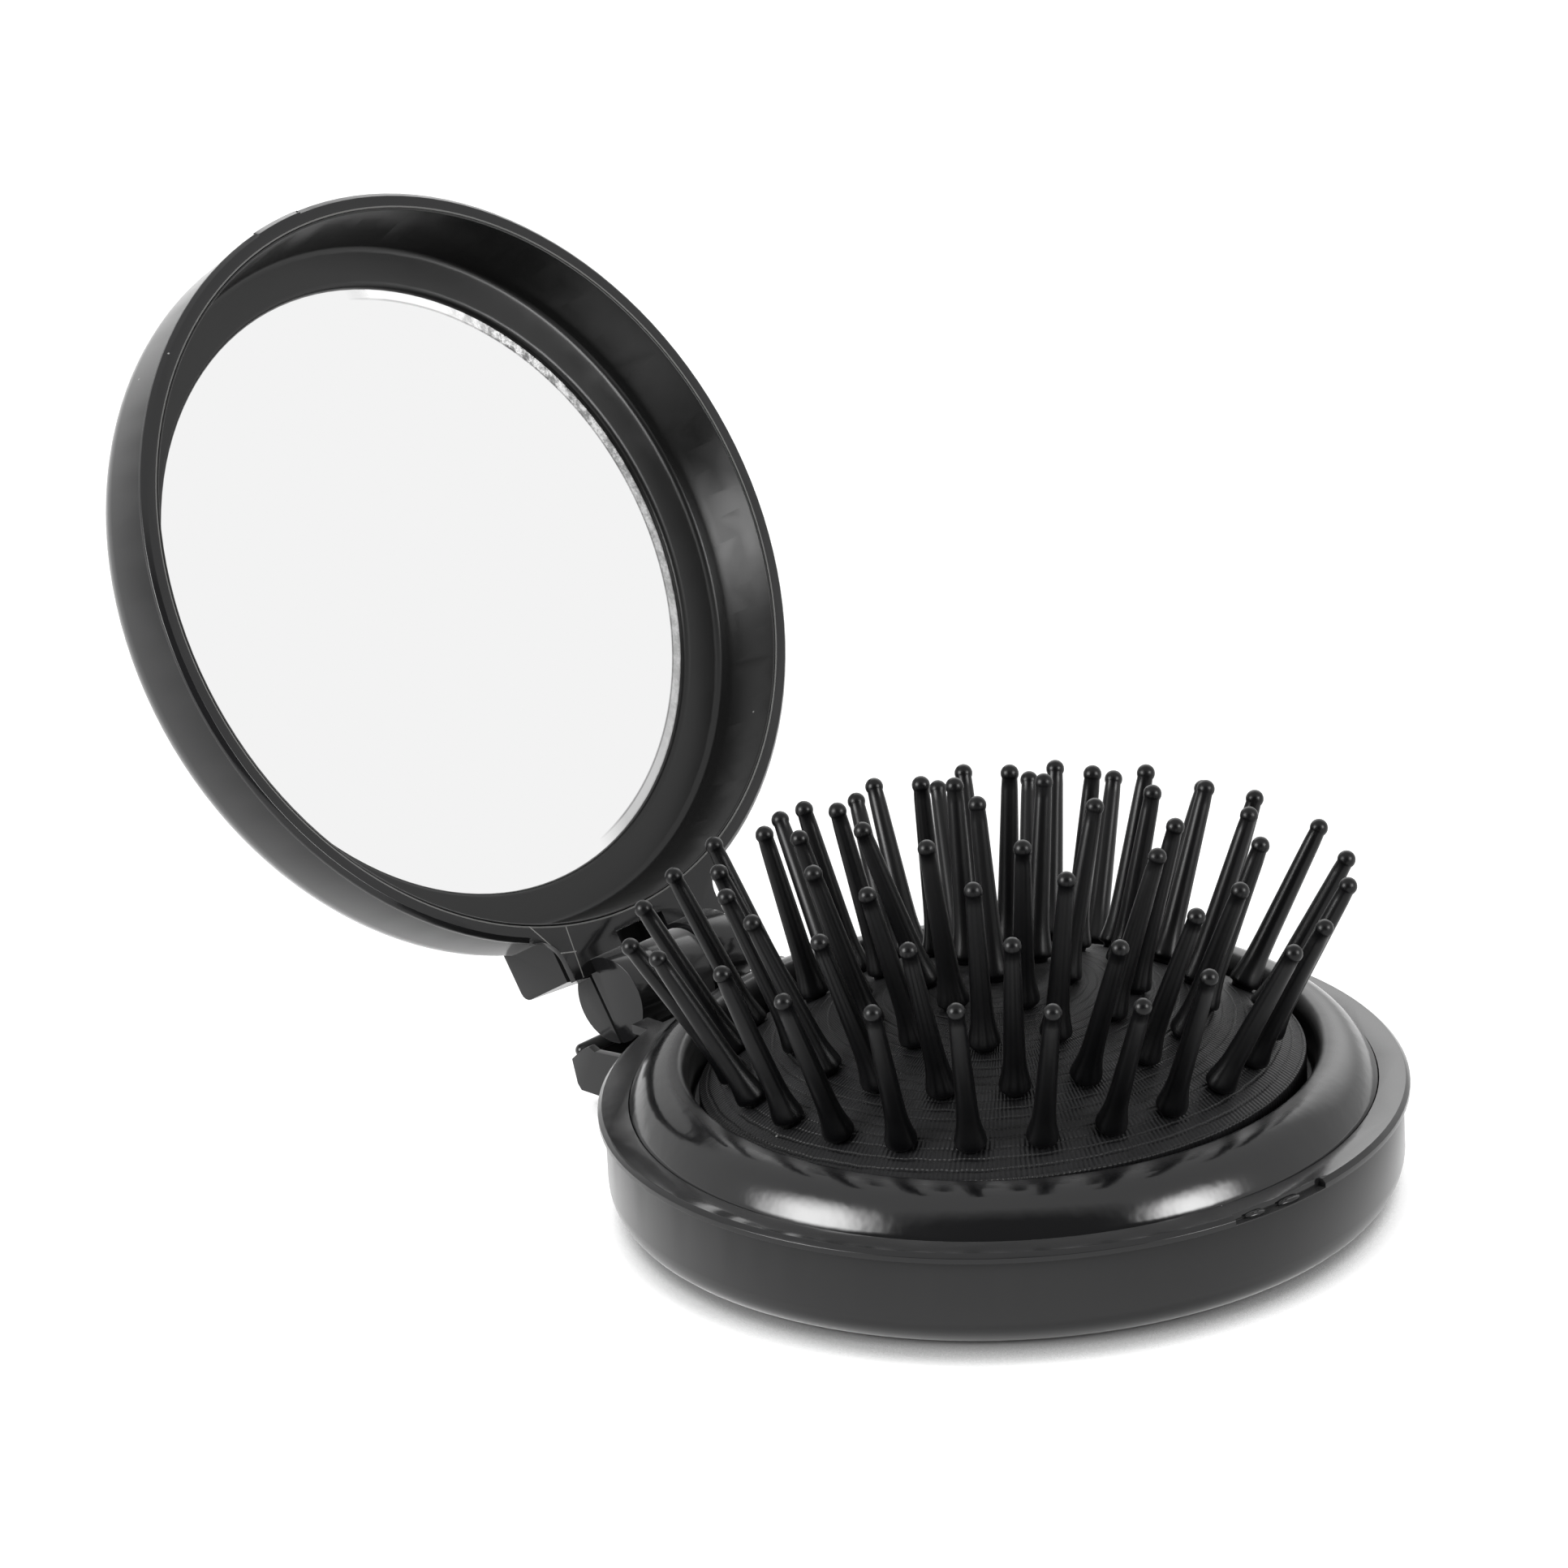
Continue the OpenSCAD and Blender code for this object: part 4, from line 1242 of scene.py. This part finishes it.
def stage_softbox(studio, name, turn, height, size, power):
    """An oval softbox that faces the brush, turned that far from the camera, brightest at its middle."""
    data = bpy.data.lights.new(name, "AREA")
    data.shape = "ELLIPSE"
    data.size, data.size_y = size
    data.energy = power
    data.use_nodes = True
    data.node_tree.nodes.clear()
    add = partial(add_node, data.node_tree)
    spot = add("ShaderNodeNewGeometry").outputs["Parametric"]
    across = add("ShaderNodeVectorMath", {0: spot, 1: (0.5, 0.5, 0)}, operation="DISTANCE")
    soft = add(
        "ShaderNodeMapRange",
        {"Value": across.outputs["Value"], "From Min": 0.5, "From Max": 0.06},
        interpolation_type="SMOOTHSTEP",
    )
    glow = add("ShaderNodeEmission", {"Strength": soft})
    add("ShaderNodeOutputLight", {"Surface": glow})
    a = studio.azimuth + turn
    direction = Vector((math.sin(a) * math.cos(height), -math.cos(a) * math.cos(height), math.sin(height)))
    lamp = link(name, data)
    lamp.location = direction * studio.box_away + BASE_TOP * UP
    lamp.rotation_euler = direction.to_track_quat("Z", "Y").to_euler()
    lamp.visible_camera = False


class HAIRBRUSH_OT_stage(PieceOperator):
    """Sets the floor, the background, the lamps and the camera"""

    bl_idname = "hairbrush.stage"
    bl_label = "Stage"

    def execute(self, context):
        studio = settings()[2]
        scene = context.scene
        scene.view_settings.view_transform = "Standard"
        stage_floor(studio)
        stage_world(studio)
        camera = link("camera", bpy.data.cameras.new("camera"))
        camera.data.sensor_width = SENSOR
        camera.data.lens = studio.focal_px * SENSOR / FRAME_PX
        camera.data.clip_start, camera.data.clip_end = 0.01, 50
        camera.matrix_world = Matrix.Translation(camera_place(studio)) @ camera_axes(studio)[1].to_4x4()
        scene.camera = camera
        turn, height, side, power = studio.box_turn, studio.box_height, studio.box_size, studio.box_power
        small, weak = RIGHT_SIZE * side, RIGHT_POWER * power
        stage_softbox(studio, "left softbox", -turn, height, (side, side), power)
        stage_softbox(studio, "right softbox", RIGHT_TURN * turn, height, (small, small), weak)
        stage_softbox(studio, "back softbox", math.pi, BACK_HEIGHT, BACK_BOX, studio.back_power)
        return {"FINISHED"}


# ---------- the add-on ----------


class HAIRBRUSH_PT_pieces(bpy.types.Panel):
    """Lists the pieces of the brush, with their sizes and colours"""

    bl_idname = "HAIRBRUSH_PT_pieces"
    bl_label = "Folding Hairbrush"
    bl_space_type = "VIEW_3D"
    bl_region_type = "UI"
    bl_category = "Hairbrush"

    def draw(self, context):
        for group in settings():
            box = self.layout.box()
            for name in group.__annotations__:
                box.prop(group, name)
        for operator in OPERATORS:
            self.layout.operator(operator.bl_idname)


OPERATORS = (
    HAIRBRUSH_OT_stage,
    HAIRBRUSH_OT_base,
    HAIRBRUSH_OT_bezel,
    HAIRBRUSH_OT_hinge_pin,
    HAIRBRUSH_OT_lid,
    HAIRBRUSH_OT_mirror,
    HAIRBRUSH_OT_head_plates,
    HAIRBRUSH_OT_cushion,
    HAIRBRUSH_OT_bristles,
)
GROUPS = (HAIRBRUSH_PG_sizes, HAIRBRUSH_PG_finishes, HAIRBRUSH_PG_studio)
CLASSES = (*GROUPS, *OPERATORS, HAIRBRUSH_PT_pieces)


def register():
    for cls in CLASSES:
        bpy.utils.register_class(cls)
    bpy.types.Scene.hairbrush_sizes = PointerProperty(type=HAIRBRUSH_PG_sizes)
    bpy.types.Scene.hairbrush_finishes = PointerProperty(type=HAIRBRUSH_PG_finishes)
    bpy.types.Scene.hairbrush_studio = PointerProperty(type=HAIRBRUSH_PG_studio)


def unregister():
    del bpy.types.Scene.hairbrush_studio
    del bpy.types.Scene.hairbrush_finishes
    del bpy.types.Scene.hairbrush_sizes
    for cls in reversed(CLASSES):
        bpy.utils.unregister_class(cls)


def main():
    """Builds the whole brush and its stage."""
    register()
    bpy.ops.hairbrush.stage()
    bpy.ops.hairbrush.base()
    bpy.ops.hairbrush.bezel()
    bpy.ops.hairbrush.hinge_pin()
    bpy.ops.hairbrush.lid()
    bpy.ops.hairbrush.mirror()
    bpy.ops.hairbrush.head_plates()
    bpy.ops.hairbrush.cushion()
    bpy.ops.hairbrush.bristles()


if __name__ == "__main__":
    main()
